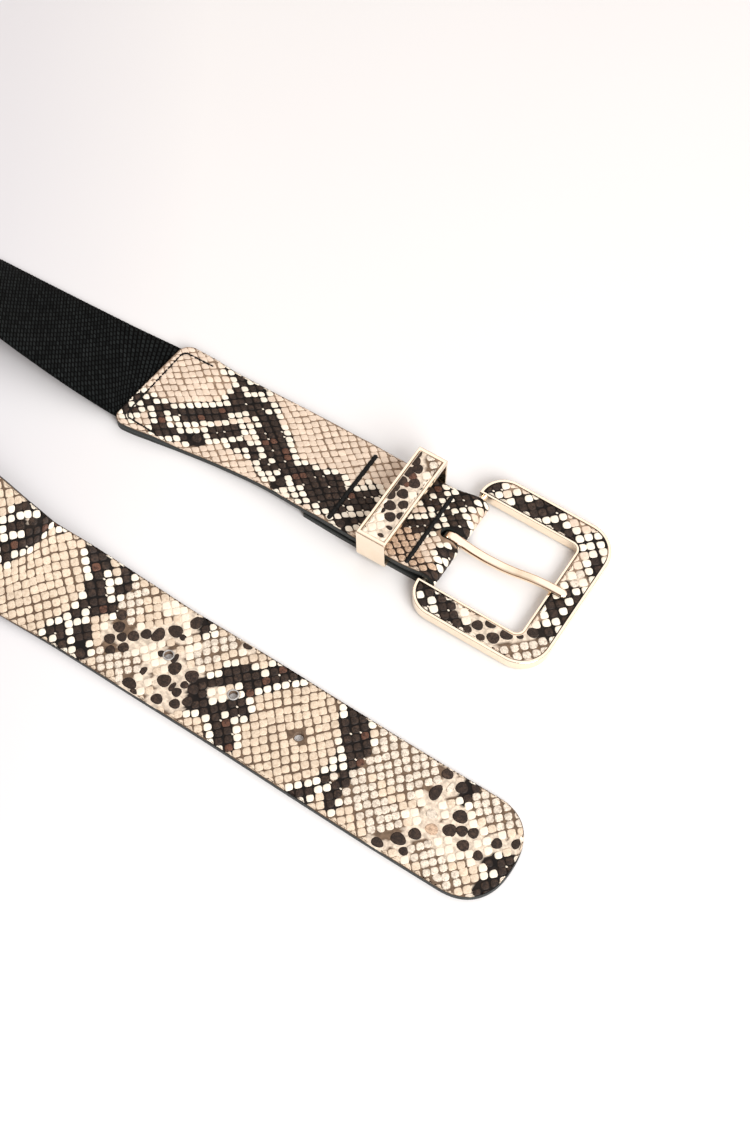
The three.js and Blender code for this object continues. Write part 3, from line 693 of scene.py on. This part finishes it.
def tabX(u):  # where a point of the flat tab ends up along the strap
    if u <= tab["barX"]:
        return u
    if u >= tab["barX"] + foldArc:
        return tab["barX"] - (u - tab["barX"] - foldArc)
    return tab["barX"] + (tab["foldInner"] + tab["leather"] / 2) * math.sin((u - tab["barX"]) / foldArc * math.pi)


def tabToRow(u, y, w):  # w is the height over the flat slab's underside, of a thickness of 2.4
    half = tab["leather"] / 2
    off = w - half
    if u <= tab["barX"]:
        thickness = along(tabSide, 2, u)
        low = along(tabSide, 1, u)
        share = clamp(w / tab["leather"])
        return toRow((u, y, low + share * thickness + (w - share * tab["leather"])))
    if u >= tab["barX"] + foldArc:
        return toRow((tabX(u), y, half - off))
    angle = math.pi / 2 - (u - tab["barX"]) / foldArc * math.pi
    radius = tab["foldInner"] + half + off
    return toRow((tab["barX"] + radius * math.cos(angle), y, tab["barZ"] + radius * math.sin(angle)))


def tabOutline(u, y):  # how far inside the flat tab's outline a point is
    x = tabX(u)
    nearSide, farSide = y - along(tabPlan, 2, x), along(tabPlan, 1, x) - y
    endX = lerp(tab["endNear"], tab["endFar"], clamp((y + 2.7) / 41.5))
    back, r = u - endX, tab["corner"]
    inside = min(nearSide, farSide, back, tabEnd - u)
    for side in (nearSide, farSide):
        if side < r and back < r:
            inside = min(inside, r - math.hypot(r - side, r - back))
    return inside


def slotOutside(u, y):
    middle = tab["barX"] + foldArc / 2
    reach = middle - tab["slotX"] - tab["slotHalf"]
    half = tab["slotHalf"] + tab["mouthFlare"] * math.exp(-((u - middle) / 1.7) ** 2)
    past = max(0.0, abs(u - middle) - reach)
    return math.hypot(past, y - tab["slotY"]) - half


def slotOutline():
    middle = tab["barX"] + foldArc / 2
    reach = middle - tab["slotX"] - tab["slotHalf"]
    points = []
    for side in (1, -1):
        for i in range(25):
            u = lerp(-reach, reach, i / 24) * side
            half = tab["slotHalf"] + tab["mouthFlare"] * math.exp(-(u / 1.7) ** 2)
            points.append((middle + u, tab["slotY"] - side * half))
        for i in range(1, 12):
            angle = -math.pi / 2 + math.pi * i / 12
            points.append((middle + side * (reach + tab["slotHalf"] * math.cos(angle)),
                           tab["slotY"] + side * tab["slotHalf"] * math.sin(angle)))
    return points


def makeTab():
    xs = [lerp(tab["endNear"], 12, i / 150) for i in range(150)]
    xs += [lerp(12, 36, i / 48) for i in range(48)]
    xs += [lerp(36, tabEnd, i / 20) for i in range(21)]

    def place(u, share):
        x = tabX(u)
        y = lerp(along(tabPlan, 2, x), along(tabPlan, 1, x), share)
        shift = lerp(0, 3.5, share) * clamp((-95 - u) / 15.3)
        return u + shift, y

    piece = flatLeather("tab_leather", xs, 42, tab["leather"], place, tabOutline, [slotOutline()])
    seams = [tab["seam"]] + [[(s[0], s[1]), (s[2], s[3])] for s in tab["crossStitches"]]
    dressLeather(piece, tabPrint, tab["leather"], tabToRow, seams, False)

    def onTab(u, y, w):
        return tabToRow(u, y, tab["leather"] + w - seamDip(seams, u, y, 0.3, 0.8))

    scales = scalesMesh("tab_scales", tabPrint, (-112, 27.5), (-5, 41), tabOutline, slotOutside, onTab)
    bm = bmesh.new()
    stitchRow(bm, tab["seam"], seamStitch, onTab)
    for s in tab["crossStitches"]:
        stitchRow(bm, [(s[0], s[1]), (s[2], s[3])], crossStitch, onTab)
    smoothFaces(bm)
    thread = finishMesh("tab_stitches", bm, [bondedThread])
    return piece, scales, thread


tabLeather, tabScales, tabThread = makeTab()
print("buckle tab made:", len(tabScales.data.polygons), "scale faces")


# Ribbon runs
tabSideRun = [(-290, 29.5, 0.0, 90.0), (-250, 30.8, 0.0, 70.0), (-215, 32.0, 0.0, 45.0), (-189, 33.0, 0.0, 30.0),
              (-167, 33.8, 0.0, 20.0), (-147, 34.6, 0.0, 12.5), (-127, 35.5, 0.0, 5.5), (-115, 36.3, 0.0, 1.5),
              (-106, 36.8, 0.0, 0.0), (-92, 36.9, 0.0, 0.0)]  # x, edge, lift, roll in degrees
tipSideRun = [(-290, -78.0, 0.0, 90.0), (-250, -78.4, 0.0, 80.0), (-215, -78.9, 1.0, 66.0),
              (-180, -79.8, 3.0, 50.0), (-148, -81.2, 4.5, 37.0), (-125, -83.4, 3.6, 28.0),
              (-110, -85.2, 2.0, 23.0), (-96, -86.4, 0.6, 18.0), (-86, -86.2, 0.0, 13.0), (-75, -86.1, 0.0, 7.0),
              (-62, -86.3, 0.0, 3.0), (-38, -86.9, 0.0, 0.0), (-16, -87.3, 0.0, 0.0), (24, -88.6, 0.0, 0.0),
              (60, -89.6, 0.0, 0.0), (98, -90.0, 0.0, 0.0)]


def ribbonPoint(edge, inward, roll, across, height):  # across is measured from the ribbon's own edge
    up = Vector((0, 0, 1))
    point = edge + (inward * math.cos(roll) + up * math.sin(roll)) * across
    return point + (up * math.cos(roll) - inward * math.sin(roll)) * height


def runPoint(rows, sign, x, across, height):
    slope = (along(rows, 1, x + 1) - along(rows, 1, x - 1)) / 2
    inward = Vector((-slope, 1, 0)).normalized() * sign
    edge = Vector((x, along(rows, 1, x), along(rows, 2, x)))
    return ribbonPoint(edge, inward, math.radians(along(rows, 3, x)), across, height)


# Elastic
turnRadius = (tabSideRun[0][1] - tipSideRun[0][1]) / 2
turnLength = math.pi * (turnRadius + 2)
tabRunLength = webbing["tabEnd"] - tabSideRun[0][0]
tipRunLength = webbing["tipEnd"] - tipSideRun[0][0]
webbingLength = tabRunLength + turnLength + tipRunLength


def webbingToRow(s, across, height):
    if s < tabRunLength:
        return toRow(runPoint(tabSideRun, -1, webbing["tabEnd"] - s, across, height))
    if s > tabRunLength + turnLength:
        x = tipSideRun[0][0] + s - tabRunLength - turnLength
        return toRow(runPoint(tipSideRun, 1, x, across, height))
    angle = math.pi / 2 + (s - tabRunLength) / turnLength * math.pi
    outward = Vector((math.cos(angle), math.sin(angle), 0))
    centre = Vector((tabSideRun[0][0], (tabSideRun[0][1] + tipSideRun[0][1]) / 2, 0))
    return toRow(ribbonPoint(centre + outward * turnRadius, -outward, math.pi / 2, across, height))


def makeElasticPiece():
    # Every other line of the grid stands proud as a rib; the ribs run slanted across the ribbon
    columns = 2 * round(webbingLength / webbing["ribPitch"])
    bm = bmesh.new()
    bmesh.ops.create_grid(bm, x_segments=columns, y_segments=10, size=1.0)
    upper = bmesh.ops.extrude_face_region(bm, geom=list(bm.faces))
    raisedVerts = set(vertsIn(upper["geom"]))
    uvLayer = bm.loops.layers.uv.new("flat")
    for face in bm.faces:
        face.smooth = True
        for loop in face.loops:
            row, side = loop.vert.co.x * 0.5 + 0.5, loop.vert.co.y * 0.5 + 0.5
            loop[uvLayer].uv = (side * webbing["width"] * 1.18, (row * columns / 2 + 0.5) * webbing["ribPitch"])
    for vert in bm.verts:
        column = round((vert.co.x + 1) / 2 * columns)
        across = (vert.co.y + 1) / 2 * webbing["width"]
        s = column / columns * webbingLength
        s += (across - webbing["width"] / 2) * webbing["ribSlant"] * clamp(min(s, webbingLength - s) / 30)
        valley = webbing["ribDepth"] if column % 2 else 0.0
        thin = 0.25 if min(across, webbing["width"] - across) < 0.1 else 0.0
        if vert in raisedVerts:
            vert.co = webbingToRow(s, across, webbing["height"] + webbing["thickness"] - thin - valley)
        else:
            vert.co = webbingToRow(s, across, webbing["height"] + thin + 0.3 * valley)
    bmesh.ops.recalc_face_normals(bm, faces=bm.faces)
    return finishMesh("elastic", bm, [ribbedElastic])


elasticPiece = makeElasticPiece()
print("elastic made:", len(elasticPiece.data.polygons), "faces")


# Tip strap
tip = {"end": 97.2, "curve": 17.0, "power": 2.4, "start": -148.0, "leather": 2.4, "holeRadius": 1.7,
       "holes": [-38.5, -12.0, 14.5],
       "seam": [(-133, 37.2), (-144.2, 37.2), (-145.2, 36.2), (-145.2, 0.8), (-144.2, -0.4), (-133, -0.4)]}
tipBody = [(-148, 40.4, 4.0), (-134, 40.0, 4.0), (-124, 38.9, 2.4), (-110, 37.5, 2.4), (-94, 36.6, 2.4),
           (98, 36.6, 2.4)]  # x, width, thickness


def tipInsideOutline(x, y):  # y is measured from the elastic's edge line
    half = along(tipBody, 1, x) / 2
    side = abs(y - webbing["width"] / 2)
    t = (x - (tip["end"] - tip["curve"])) / tip["curve"]
    if t <= 0:
        return min(half - side, x - tip["start"])
    p = tip["power"]
    level = (t ** p + (side / half) ** p) ** (1 / p)
    slope = math.hypot(t ** (p - 1) / tip["curve"], (side / half) ** (p - 1) / half) / max(level, 0.01) ** (p - 1)
    return (1 - level) / max(slope, 0.01)


def holesOutside(x, y):
    return min(math.hypot(x - hx, y - webbing["width"] / 2) - tip["holeRadius"] - 0.1 for hx in tip["holes"])


def tipToRow(x, y, w):
    thickness = along(tipBody, 2, x)
    share = clamp(w / tip["leather"])
    return toRow(runPoint(tipSideRun, 1, x, y, share * thickness + (w - share * tip["leather"])))


def makeTipStrap():
    curveStart = tip["end"] - tip["curve"]
    xs = [lerp(tip["start"], curveStart, i / 260) for i in range(260)]
    xs += [curveStart + tip["curve"] * math.sin(math.radians(88.6 * i / 30)) ** 0.85 for i in range(31)]

    def place(x, share):
        t = max(0.0, (x - curveStart) / tip["curve"])
        half = along(tipBody, 1, x) / 2 * (1 - t ** tip["power"]) ** (1 / tip["power"])
        return x, webbing["width"] / 2 + lerp(-half, half, share)

    circle = [(math.cos(i * math.pi / 14) * tip["holeRadius"], math.sin(i * math.pi / 14) * tip["holeRadius"])
              for i in range(28)]
    cutters = [[(hx + cx, webbing["width"] / 2 + cy) for cx, cy in circle] for hx in tip["holes"]]
    piece = flatLeather("tip_leather", xs, 38, tip["leather"], place, lambda x, y: 9.0, cutters)
    dressLeather(piece, tipPrint, tip["leather"], tipToRow, [tip["seam"]], True,
                 lambda x, y: holesOutside(x, y) < 0.15)

    def onTip(x, y, w):
        return tipToRow(x, y, tip["leather"] + w - seamDip([tip["seam"]], x, y, 0.3, 0.8))

    scales = scalesMesh("tip_scales", tipPrint, (-149, 99), (-4, 41), tipInsideOutline, holesOutside, onTip)
    bm = bmesh.new()
    stitchRow(bm, tip["seam"], seamStitch, onTip)
    smoothFaces(bm)
    thread = finishMesh("tip_stitches", bm, [bondedThread])
    # Pale grey rings round the first two holes: pressed rims and a painted highlight of the punched edges
    bm = bmesh.new()
    for hx in tip["holes"][:2]:  # the two holes farthest from the tip
        ring = bmesh.ops.create_circle(bm, segments=8, radius=0.26)["verts"]
        bmesh.ops.rotate(bm, verts=ring, matrix=Matrix.Rotation(math.pi / 2, 3, "X"))
        bmesh.ops.translate(bm, verts=ring, vec=(hx + 1.78, webbing["width"] / 2, tip["leather"] + 0.12))
        edges = list({edge for vert in ring for edge in vert.link_edges})
        bmesh.ops.spin(bm, geom=ring + edges, cent=(hx, webbing["width"] / 2, 0), axis=(0, 0, 1),
                       angle=2 * math.pi, steps=32, use_merge=True)
    bmesh.ops.recalc_face_normals(bm, faces=bm.faces)
    carry(bm, tipToRow)
    smoothFaces(bm)
    rims = finishMesh("tip_hole_rim_highlights", bm, [pressedRimAndHighlight])
    return piece, scales, thread, rims


tipLeather, tipScales, tipThread, tipRims = makeTipStrap()
print("tip strap made:", len(tipScales.data.polygons), "scale faces")


# Buckle
buckle = {"y": 20.4, "back": -1.75, "front": 49.8, "width": 61.5, "thickness": 4.4, "openFront": 38.2,
          "openWidth": 40.5, "openCorner": 2.5, "frontCorner": 11.5, "backCorner": 9.5, "rim": 1.05,
          "recess": 1.5, "inlayLow": 1.0, "inlayThick": 1.0, "barRadius": 1.2}
buckleTilt = math.asin((tab["barZ"] - buckle["thickness"] / 2) / buckle["front"])
buckleTurn = Matrix.Rotation(buckleTilt, 4, "Y")


def buckleToRow(x, y, z):
    return toRow(Vector((tab["barX"], buckle["y"], tab["barZ"])) + buckleTurn.to_3x3() @ Vector((x, y, z)))


def arc(cx, cy, radius, startDeg, endDeg, steps=14):
    angles = [math.radians(lerp(startDeg, endDeg, i / steps)) for i in range(steps + 1)]
    return [(cx + radius * math.cos(a), cy + radius * math.sin(a)) for a in angles]


def buckleOutline(inset=0.0):
    half, openHalf = buckle["width"] / 2 - inset, buckle["openWidth"] / 2 + 0.82 * inset
    back, front = buckle["back"] + inset, buckle["front"] - inset
    openFront = buckle["openFront"] + 0.82 * inset
    rb, rf = buckle["backCorner"] - inset, buckle["frontCorner"] - inset
    ro = buckle["openCorner"] + 0.82 * inset
    outer = arc(back + rb, -half + rb, rb, 180, 270) + arc(front - rf, -half + rf, rf, 270, 360)
    outer += arc(front - rf, half - rf, rf, 0, 90) + arc(back + rb, half - rb, rb, 90, 180)
    inner = arc(openFront - ro, openHalf - ro, ro, 90, 0, 8) + arc(openFront - ro, -openHalf + ro, ro, 0, -90, 8)
    return outer + [(back, openHalf)] + inner + [(back, -openHalf)]


def ringStack(bm, outlineAt, rings, capFirst=True, capLast=True):
    # A solid whose walls run through rings: each is the outline at an inset, at a height
    loops = []
    for inset, z in rings:
        loops.append(closedLoop(bm, [(x, y, z) for x, y in outlineAt(inset)])[1])
    for lower, upper in zip(loops, loops[1:]):
        bmesh.ops.bridge_loops(bm, edges=lower + upper)
    for loop, wanted in ((loops[0], capFirst), (loops[-1], capLast)):
        if wanted:
            bmesh.ops.contextual_create(bm, geom=loop)
    bmesh.ops.recalc_face_normals(bm, faces=bm.faces)


def bevelSharp(bm, width, segments, minDeg=35):
    edges = [e for e in bm.edges if len(e.link_faces) == 2 and e.calc_face_angle() > math.radians(minDeg)]
    bmesh.ops.bevel(bm, geom=edges, offset=width, segments=segments, profile=0.5, affect="EDGES", material=-1,
                    clamp_overlap=True)


def makeBuckleFrame():
    bm = bmesh.new()
    half, rim = buckle["thickness"] / 2, buckle["rim"]
    ringStack(bm, buckleOutline, [(0.4, -half), (0.12, -half + 0.12), (0, -half + 0.4), (0, half - 0.3),
                                  (0.04, half - 0.14), (0.14, half - 0.04), (0.3, half), (rim - 0.14, half),
                                  (rim - 0.04, half - 0.04), (rim, half - 0.14), (rim, half - buckle["recess"])])
    bar = bmesh.ops.create_cone(bm, cap_ends=True, segments=32, radius1=buckle["barRadius"],
                                radius2=buckle["barRadius"], depth=buckle["openWidth"] + 1.6)
    bmesh.ops.rotate(bm, verts=bar["verts"], matrix=Matrix.Rotation(math.pi / 2, 3, "X"))
    carry(bm, buckleToRow)
    return evenFlats(finishMesh("buckle_casting", bm, [roseGold], 40))


def evenFlats(piece):  # flat faces keep their own shading beside the small rounds
    weighted = piece.modifiers.new("even flats", "WEIGHTED_NORMAL")
    weighted.keep_sharp = True
    return piece


def noOpening(x, y):
    return 99.0


def signedBox(x, y, x0, x1, y0, y1, radius):  # how far inside a rounded rectangle
    cx, cy = (x0 + x1) / 2, (y0 + y1) / 2
    qx, qy = abs(x - cx) - (x1 - x0) / 2 + radius, abs(y - cy) - (y1 - y0) / 2 + radius
    return radius - math.hypot(max(qx, 0), max(qy, 0)) - min(max(qx, qy), 0)


def inlayInside(x, y):
    m = buckle["rim"] + 0.1
    half, openHalf = buckle["width"] / 2 - m, buckle["openWidth"] / 2 + 0.9 * m
    radius = buckle["frontCorner"] - m if x > 20 else buckle["backCorner"] - m
    outer = signedBox(x, y, buckle["back"] + m, buckle["front"] - m, -half, half, radius)
    inner = signedBox(x, y, buckle["back"] - 30, buckle["openFront"] + m, -openHalf, openHalf,
                      buckle["openCorner"] + m)
    return min(outer, -inner)


def makeInlayBase(name, outlineAt, low, thick, toSpace, chart):
    # A thin leather panel; its face is cut into a fine grid so that the print's ground can change along it
    bm = bmesh.new()
    ringStack(bm, outlineAt, [(0.12, low), (0, low + 0.12), (0, low + thick - 0.2), (0.2, low + thick)])
    xs = [v.co.x for v in bm.verts]
    ys = [v.co.y for v in bm.verts]
    for axis, values in ((0, xs), (1, ys)):
        lowest, highest = min(values), max(values)
        for i in range(1, int((highest - lowest) / 1.2)):
            point, normal = [0, 0, 0], [0, 0, 0]
            point[axis], normal[axis] = lowest + i * 1.2, 1
            bmesh.ops.bisect_plane(bm, geom=list(bm.verts) + list(bm.edges) + list(bm.faces), plane_co=point,
                                   plane_no=normal, dist=0.0001)
    bmesh.ops.triangulate(bm, faces=bm.faces)
    ground = bm.verts.layers.float_color.new("groundColour")
    uvLayer = bm.loops.layers.uv.new("flat")
    for vert in bm.verts:
        vert[ground] = groundAt(chart, vert.co.x, vert.co.y)
    for face in bm.faces:
        for loop in face.loops:
            loop[uvLayer].uv = loop.vert.co.xy
    carry(bm, toSpace)
    return finishMesh(name, bm, [printedGround], 40)


def makeBuckleInlay():
    top = buckle["inlayLow"] + buckle["inlayThick"]
    base = makeInlayBase("buckle_inlay_leather", lambda inset: buckleOutline(buckle["rim"] + 0.06 + inset),
                         buckle["inlayLow"], buckle["inlayThick"], buckleToRow, framePrint)
    scales = scalesMesh("buckle_inlay_scales", framePrint, (-4, 52), (-33, 33), inlayInside, noOpening,
                        lambda x, y, w: buckleToRow(x, y, top + w))
    return base, scales


def makeProng():
    side = [(0.2, 2.4, 3.74), (2.4, 1.6, 3.3), (5, 0.5, 2.55), (9, -0.4, 1.7), (14, -1.0, 1.2), (19, -0.9, 1.3),
            (24, -0.1, 2.0), (28, 1.0, 3.1), (33, 2.1, 4.2), (37.5, 2.5, 4.55),
            (41, 2.52, 4.5), (44.2, 2.6, 4.3)]  # x, low, high
    shape = {"y": 19.6, "width": 3.7, "tipShare": 0.9, "lean": math.tan(math.radians(1.9)), "length": 44.2,
             "loopInner": 1.5, "loopOuter": 3.74, "flat": 0.45, "eyeInset": 0.15, "eyeCorner": 0.8}
    bm = bmesh.new()
    bmesh.ops.create_grid(bm, x_segments=60, y_segments=16, size=1.0)
    upper = bmesh.ops.extrude_face_region(bm, geom=list(bm.faces))
    raisedVerts = set(vertsIn(upper["geom"]))
    for vert in bm.verts:
        x = lerp(side[0][0], shape["length"], (vert.co.x + 1) / 2)
        share = lerp(1, shape["tipShare"], x / shape["length"])
        endRound = math.sqrt(1 - 0.9 * clamp((x - shape["length"] + 1.5) / 1.5) ** 2)
        across = math.sin(vert.co.y * math.pi / 2)  # the columns crowd towards the rounded sides
        drop = math.sqrt(1 - 0.9 * clamp((abs(across) - shape["flat"]) / (1 - shape["flat"])) ** 2)
        low, high = along(side, 1, x), along(side, 2, x)
        centre = (low + high) / 2
        z = lerp(centre, high if vert in raisedVerts else low, drop * lerp(0.5, 1, endRound))
        vert.co = (x, across * shape["width"] / 2 * share * endRound + x * shape["lean"], z)
    bmesh.ops.recalc_face_normals(bm, faces=bm.faces)
    half, ri, ro = shape["width"] / 2 - shape["eyeInset"], shape["loopInner"], shape["loopOuter"]
    corner = shape["eyeCorner"]
    turns = [math.pi * i / 12 for i in range(7)]
    rounded = [(corner * (1 - math.sin(a)), corner * (1 - math.cos(a))) for a in turns]
    profile = ([(ri, -half)] + [(ro - dr, -half + dy) for dy, dr in rounded[::-1]]
               + [(ro - dr, half - dy) for dy, dr in rounded] + [(ri, half)])
    verts, edges = closedLoop(bm, [(r, y, 0) for r, y in profile])
    bmesh.ops.spin(bm, geom=verts + edges, cent=(0, 0, 0), axis=(0, 1, 0), angle=2 * math.pi, steps=36,
                   use_merge=True)
    nearBar = [v for v in bm.verts if math.hypot(v.co.x, v.co.z) < ro + 0.01]
    bmesh.ops.remove_doubles(bm, verts=nearBar, dist=0.001)
    bmesh.ops.recalc_face_normals(bm, faces=bm.faces)
    offset = shape["y"] - buckle["y"]
    carry(bm, lambda x, y, z: buckleToRow(x, y + offset, z))
    return evenFlats(finishMesh("prong_pin", bm, [roseGold], 45))


buckleCasting = makeBuckleFrame()
buckleInlay, buckleInlayScales = makeBuckleInlay()
prongPin = makeProng()
print("buckle made")


# Keeper
def keeperLoop(inset, bottomInset, topInset):
    bottom, top = keeper["bottom"] + bottomInset, keeper["top"] - topInset
    halfTop, halfBottom = keeper["topWidth"] / 2 - inset, keeper["bottomWidth"] / 2 - inset
    r = max(0.4, keeper["corner"] - inset)
    return (arc(halfBottom - r, bottom + r, r, -90, 0, 5) + arc(halfTop - r / 2, top - r / 2, r / 2, 0, 90, 4)
            + arc(-halfTop + r / 2, top - r / 2, r / 2, 90, 180, 4)
            + arc(-halfBottom + r, bottom + r, r, 180, 270, 5))


def makeKeeper():
    bm = bmesh.new()
    half = keeper["length"] / 2
    edges = []
    for loop in (keeperLoop(0, 0, 0), keeperLoop(keeper["sideWall"], keeper["bottomWall"], keeper["topWall"])):
        edges += closedLoop(bm, [(-half, y, z) for y, z in loop])[1]
    ring = bmesh.ops.bridge_loops(bm, edges=edges)["faces"]
    made = bmesh.ops.extrude_face_region(bm, geom=ring)
    bmesh.ops.translate(bm, verts=vertsIn(made["geom"]), vec=(keeper["length"], 0, 0))
    bmesh.ops.recalc_face_normals(bm, faces=bm.faces)
    bm.normal_update()
    top = [f for f in bm.faces if f.normal.z > 0.99 and f.calc_center_median().z > keeper["top"] - 0.1
           and f.calc_area() > 100]
    bmesh.ops.inset_region(bm, faces=top, thickness=keeper["rim"], use_even_offset=True)
    sunk = bmesh.ops.extrude_face_region(bm, geom=top)["geom"]
    bmesh.ops.translate(bm, verts=vertsIn(sunk), vec=(0, 0, -keeper["recess"]))
    bmesh.ops.delete(bm, geom=top, context="FACES_ONLY")
    bmesh.ops.recalc_face_normals(bm, faces=bm.faces)
    bevelSharp(bm, 0.24, 4)
    carry(bm, keeperToRow)
    return evenFlats(finishMesh("keeper_loop", bm, [roseGold], 40))


def keeperToRow(x, y, z):
    return toRow((keeper["x"] + x, keeper["y"] + y, z))


def makeKeeperInlay():
    halfX, halfY = keeper["length"] / 2, keeper["topWidth"] / 2 - 0.3
    low, chart, margin = keeper["top"] - keeper["inlayDrop"], keeperChartShifted(), keeper["rim"] + 0.15

    def outlineAt(inset):
        x, y = halfX - margin - inset, halfY - margin - inset
        return [(-x, -y), (x, -y), (x, y), (-x, y)]

    base = makeInlayBase("keeper_inlay_leather", outlineAt, low, keeper["inlayThick"], keeperToRow, chart)
    m = margin + 0.1

    def insideInlay(x, y):
        return signedBox(x, y, -halfX + m, halfX - m, -halfY + m, halfY - m, 0.6)

    scales = scalesMesh("keeper_inlay_scales", chart, (-7, 7), (-22, 22), insideInlay, noOpening,
                        lambda x, y, w: keeperToRow(x, y, low + keeper["inlayThick"] + w))
    return base, scales


def keeperChartShifted():  # the chart is in strap coordinates, the inlay is made about the keeper's centre
    moved = dict(keeperPrint)
    for name in ("dark", "brown", "white", "mottled", "tan", "bare"):
        moved[name] = [(x0 - keeper["x"], y0 - keeper["y"], x1 - keeper["x"], y1 - keeper["y"], w)
                       for x0, y0, x1, y1, w in keeperPrint[name]]
    moved["blobs"] = [(blob[0] - keeper["x"], blob[1] - keeper["y"], *blob[2:]) for blob in keeperPrint["blobs"]]
    return moved


keeperMetal = makeKeeper()
keeperInlay, keeperInlayScales = makeKeeperInlay()
print("keeper made")


# Frame: bodies, nodes and slots; pieces go on their bodies and hide their nodes, the slot names are not used
pieces = [
    (tabLeather, "belt", "print_leather", ["buckle_tab"]), (tabScales, "belt", "print_leather", []),
    (tabThread, "belt", "print_leather", []), (tipLeather, "belt", "print_leather", ["tip_strap"]),
    (tipScales, "belt", "print_leather", []), (tipThread, "belt", "print_leather", []),
    (tipRims, "belt", "print_leather", []),
    (elasticPiece, "belt", "elastic", ["elastic_webbing"]),
    (buckleCasting, "buckle", "gold_plate", ["buckle_frame"]),
    (buckleInlay, "buckle", "print_leather", ["buckle_inlay"]),
    (buckleInlayScales, "buckle", "print_leather", []), (prongPin, "prong", "gold_plate", ["prong"]),
    (keeperMetal, "keeper", "gold_plate", ["keeper"]), (keeperInlay, "keeper", "print_leather", ["keeper_inlay"]),
    (keeperInlayScales, "keeper", "print_leather", [])]
for piece, body, slotName, nodes in pieces:
    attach(piece, body)
    if nodes:
        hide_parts(*nodes)
print("pieces placed on their bodies")


# Floor, light and camera
studio = {"lens": 64.0, "distance": 689.24, "azimuth": 32.6, "elevation": 60.0,
          "floorHalf": 15.0, "floorDrop": 0.00005}  # the lens and distance in mm, the floor in m


def makeFloor():
    bm = bmesh.new()
    bmesh.ops.create_grid(bm, x_segments=1, y_segments=1, size=studio["floorHalf"])
    bmesh.ops.translate(bm, verts=bm.verts, vec=(0, 0, -studio["floorDrop"]))
    material, tree, shader = newMaterial("whitePaper", Roughness=0.9)
    spot = addNode(tree, "ShaderNodeTexCoord").outputs["Object"]
    azimuth, target = math.radians(studio["azimuth"]), toRow((0, 0, 0))
    right = (math.cos(azimuth), math.sin(azimuth), 0)
    fromTarget = addNode(tree, "ShaderNodeVectorMath", {0: spot, 1: tuple(target)}, operation="SUBTRACT")
    sideways = addNode(tree, "ShaderNodeVectorMath", {0: fromTarget.outputs[0], 1: right},
                       operation="DOT_PRODUCT").outputs["Value"]
    # Painted shade: the floor's colour darkens towards the left, standing in for the light falling off away from
    # the softbox
    share = addNode(tree, "ShaderNodeMapRange",
                    {"Value": sideways, "From Min": -0.24, "From Max": 0.0}).outputs[0]
    paintedFalloffShade = ramp(tree, share, [(0.0, "#cdcdd1"), (0.42, "#dadadd"), (0.72, "#e6e6e6")])
    fibres = ramp(tree, noiseOn(tree, spot, 0.3), [(0.3, 0.98), (0.7, 1.0)])
    tree.links.new(mixColour(tree, 1.0, paintedFalloffShade, fibres, "MULTIPLY"), shader.inputs["Base Color"])
    floor = finishMesh("floor", bm, [material])


def areaLight(name, power, size, position, target, colour="#ffffff"):
    data = bpy.data.lights.new(name, "AREA")
    data.energy, data.size, data.color = power, size, linear(colour)[:3]
    light = bpy.data.objects.new(name, data)
    light.location = position
    light.rotation_euler = (Vector(target) - Vector(position)).to_track_quat("-Z", "Y").to_euler()
    bpy.context.collection.objects.link(light)


def makeStudio():
    target = toRow((0, 0, 0))
    azimuth, elevation = math.radians(studio["azimuth"]), math.radians(studio["elevation"])
    away = Vector((math.sin(azimuth) * math.cos(elevation), -math.cos(azimuth) * math.cos(elevation),
                   math.sin(elevation)))
    data = bpy.data.cameras.new("camera")
    data.lens = studio["lens"]
    camera = bpy.data.objects.new("camera", data)
    camera.location = target + away * studio["distance"] * mm
    camera.rotation_euler = (-away).to_track_quat("-Z", "Y").to_euler()
    bpy.context.collection.objects.link(camera)
    bpy.context.scene.camera = camera
    areaLight("softbox_right", 24.0, 0.85, target + Vector((1.0, -0.55, 0.9)), target)
    world = bpy.data.worlds.new("studio")
    world.use_nodes = True
    tree = world.node_tree
    facing = addNode(tree, "ShaderNodeTexCoord").outputs["Generated"]
    right = (math.cos(azimuth), math.sin(azimuth), 0)
    cameraSide = Vector((away.x, away.y, 0.25)).normalized()
    sideways = addNode(tree, "ShaderNodeVectorMath", {0: facing, 1: right}, operation="DOT_PRODUCT")
    roomward = addNode(tree, "ShaderNodeVectorMath", {0: facing, 1: cameraSide}, operation="DOT_PRODUCT")
    acrossRoom = addNode(tree, "ShaderNodeMapRange", {"Value": sideways.outputs["Value"], "From Min": -1.0,
                                                      "From Max": 1.0}).outputs[0]
    walls = ramp(tree, acrossRoom,
                 [(0.0, "#8e8176"), (0.3, "#d8d0ca"), (0.5, "#fffdfc"), (1.0, "#fffdfc")])
    dimRoom = ramp(tree, roomward.outputs["Value"], [(0.64, "#ffffff"), (0.88, "#6b4a30")])
    upward = addNode(tree, "ShaderNodeSeparateXYZ", {0: facing}).outputs["Z"]
    lowBand = ramp(tree, upward, [(0.02, "#6a3b1c"), (0.3, "#9a633f"), (0.55, "#ffffff")])
    room = mixColour(tree, 1.0, mixColour(tree, 1.0, walls, dimRoom, "MULTIPLY"), lowBand, "MULTIPLY")
    aboveHorizon = ramp(tree, upward, [(0.04, 0.0), (0.1, 1.0)])
    sky = mixColour(tree, aboveHorizon, linear("#d8d4d1"), room)
    background = tree.nodes["Background"]
    tree.links.new(sky, background.inputs["Color"])
    background.inputs["Strength"].default_value = 1.3
    bpy.context.scene.world = world
    bpy.context.scene.view_settings.view_transform = "Standard"


makeFloor()
makeStudio()
print("studio made")
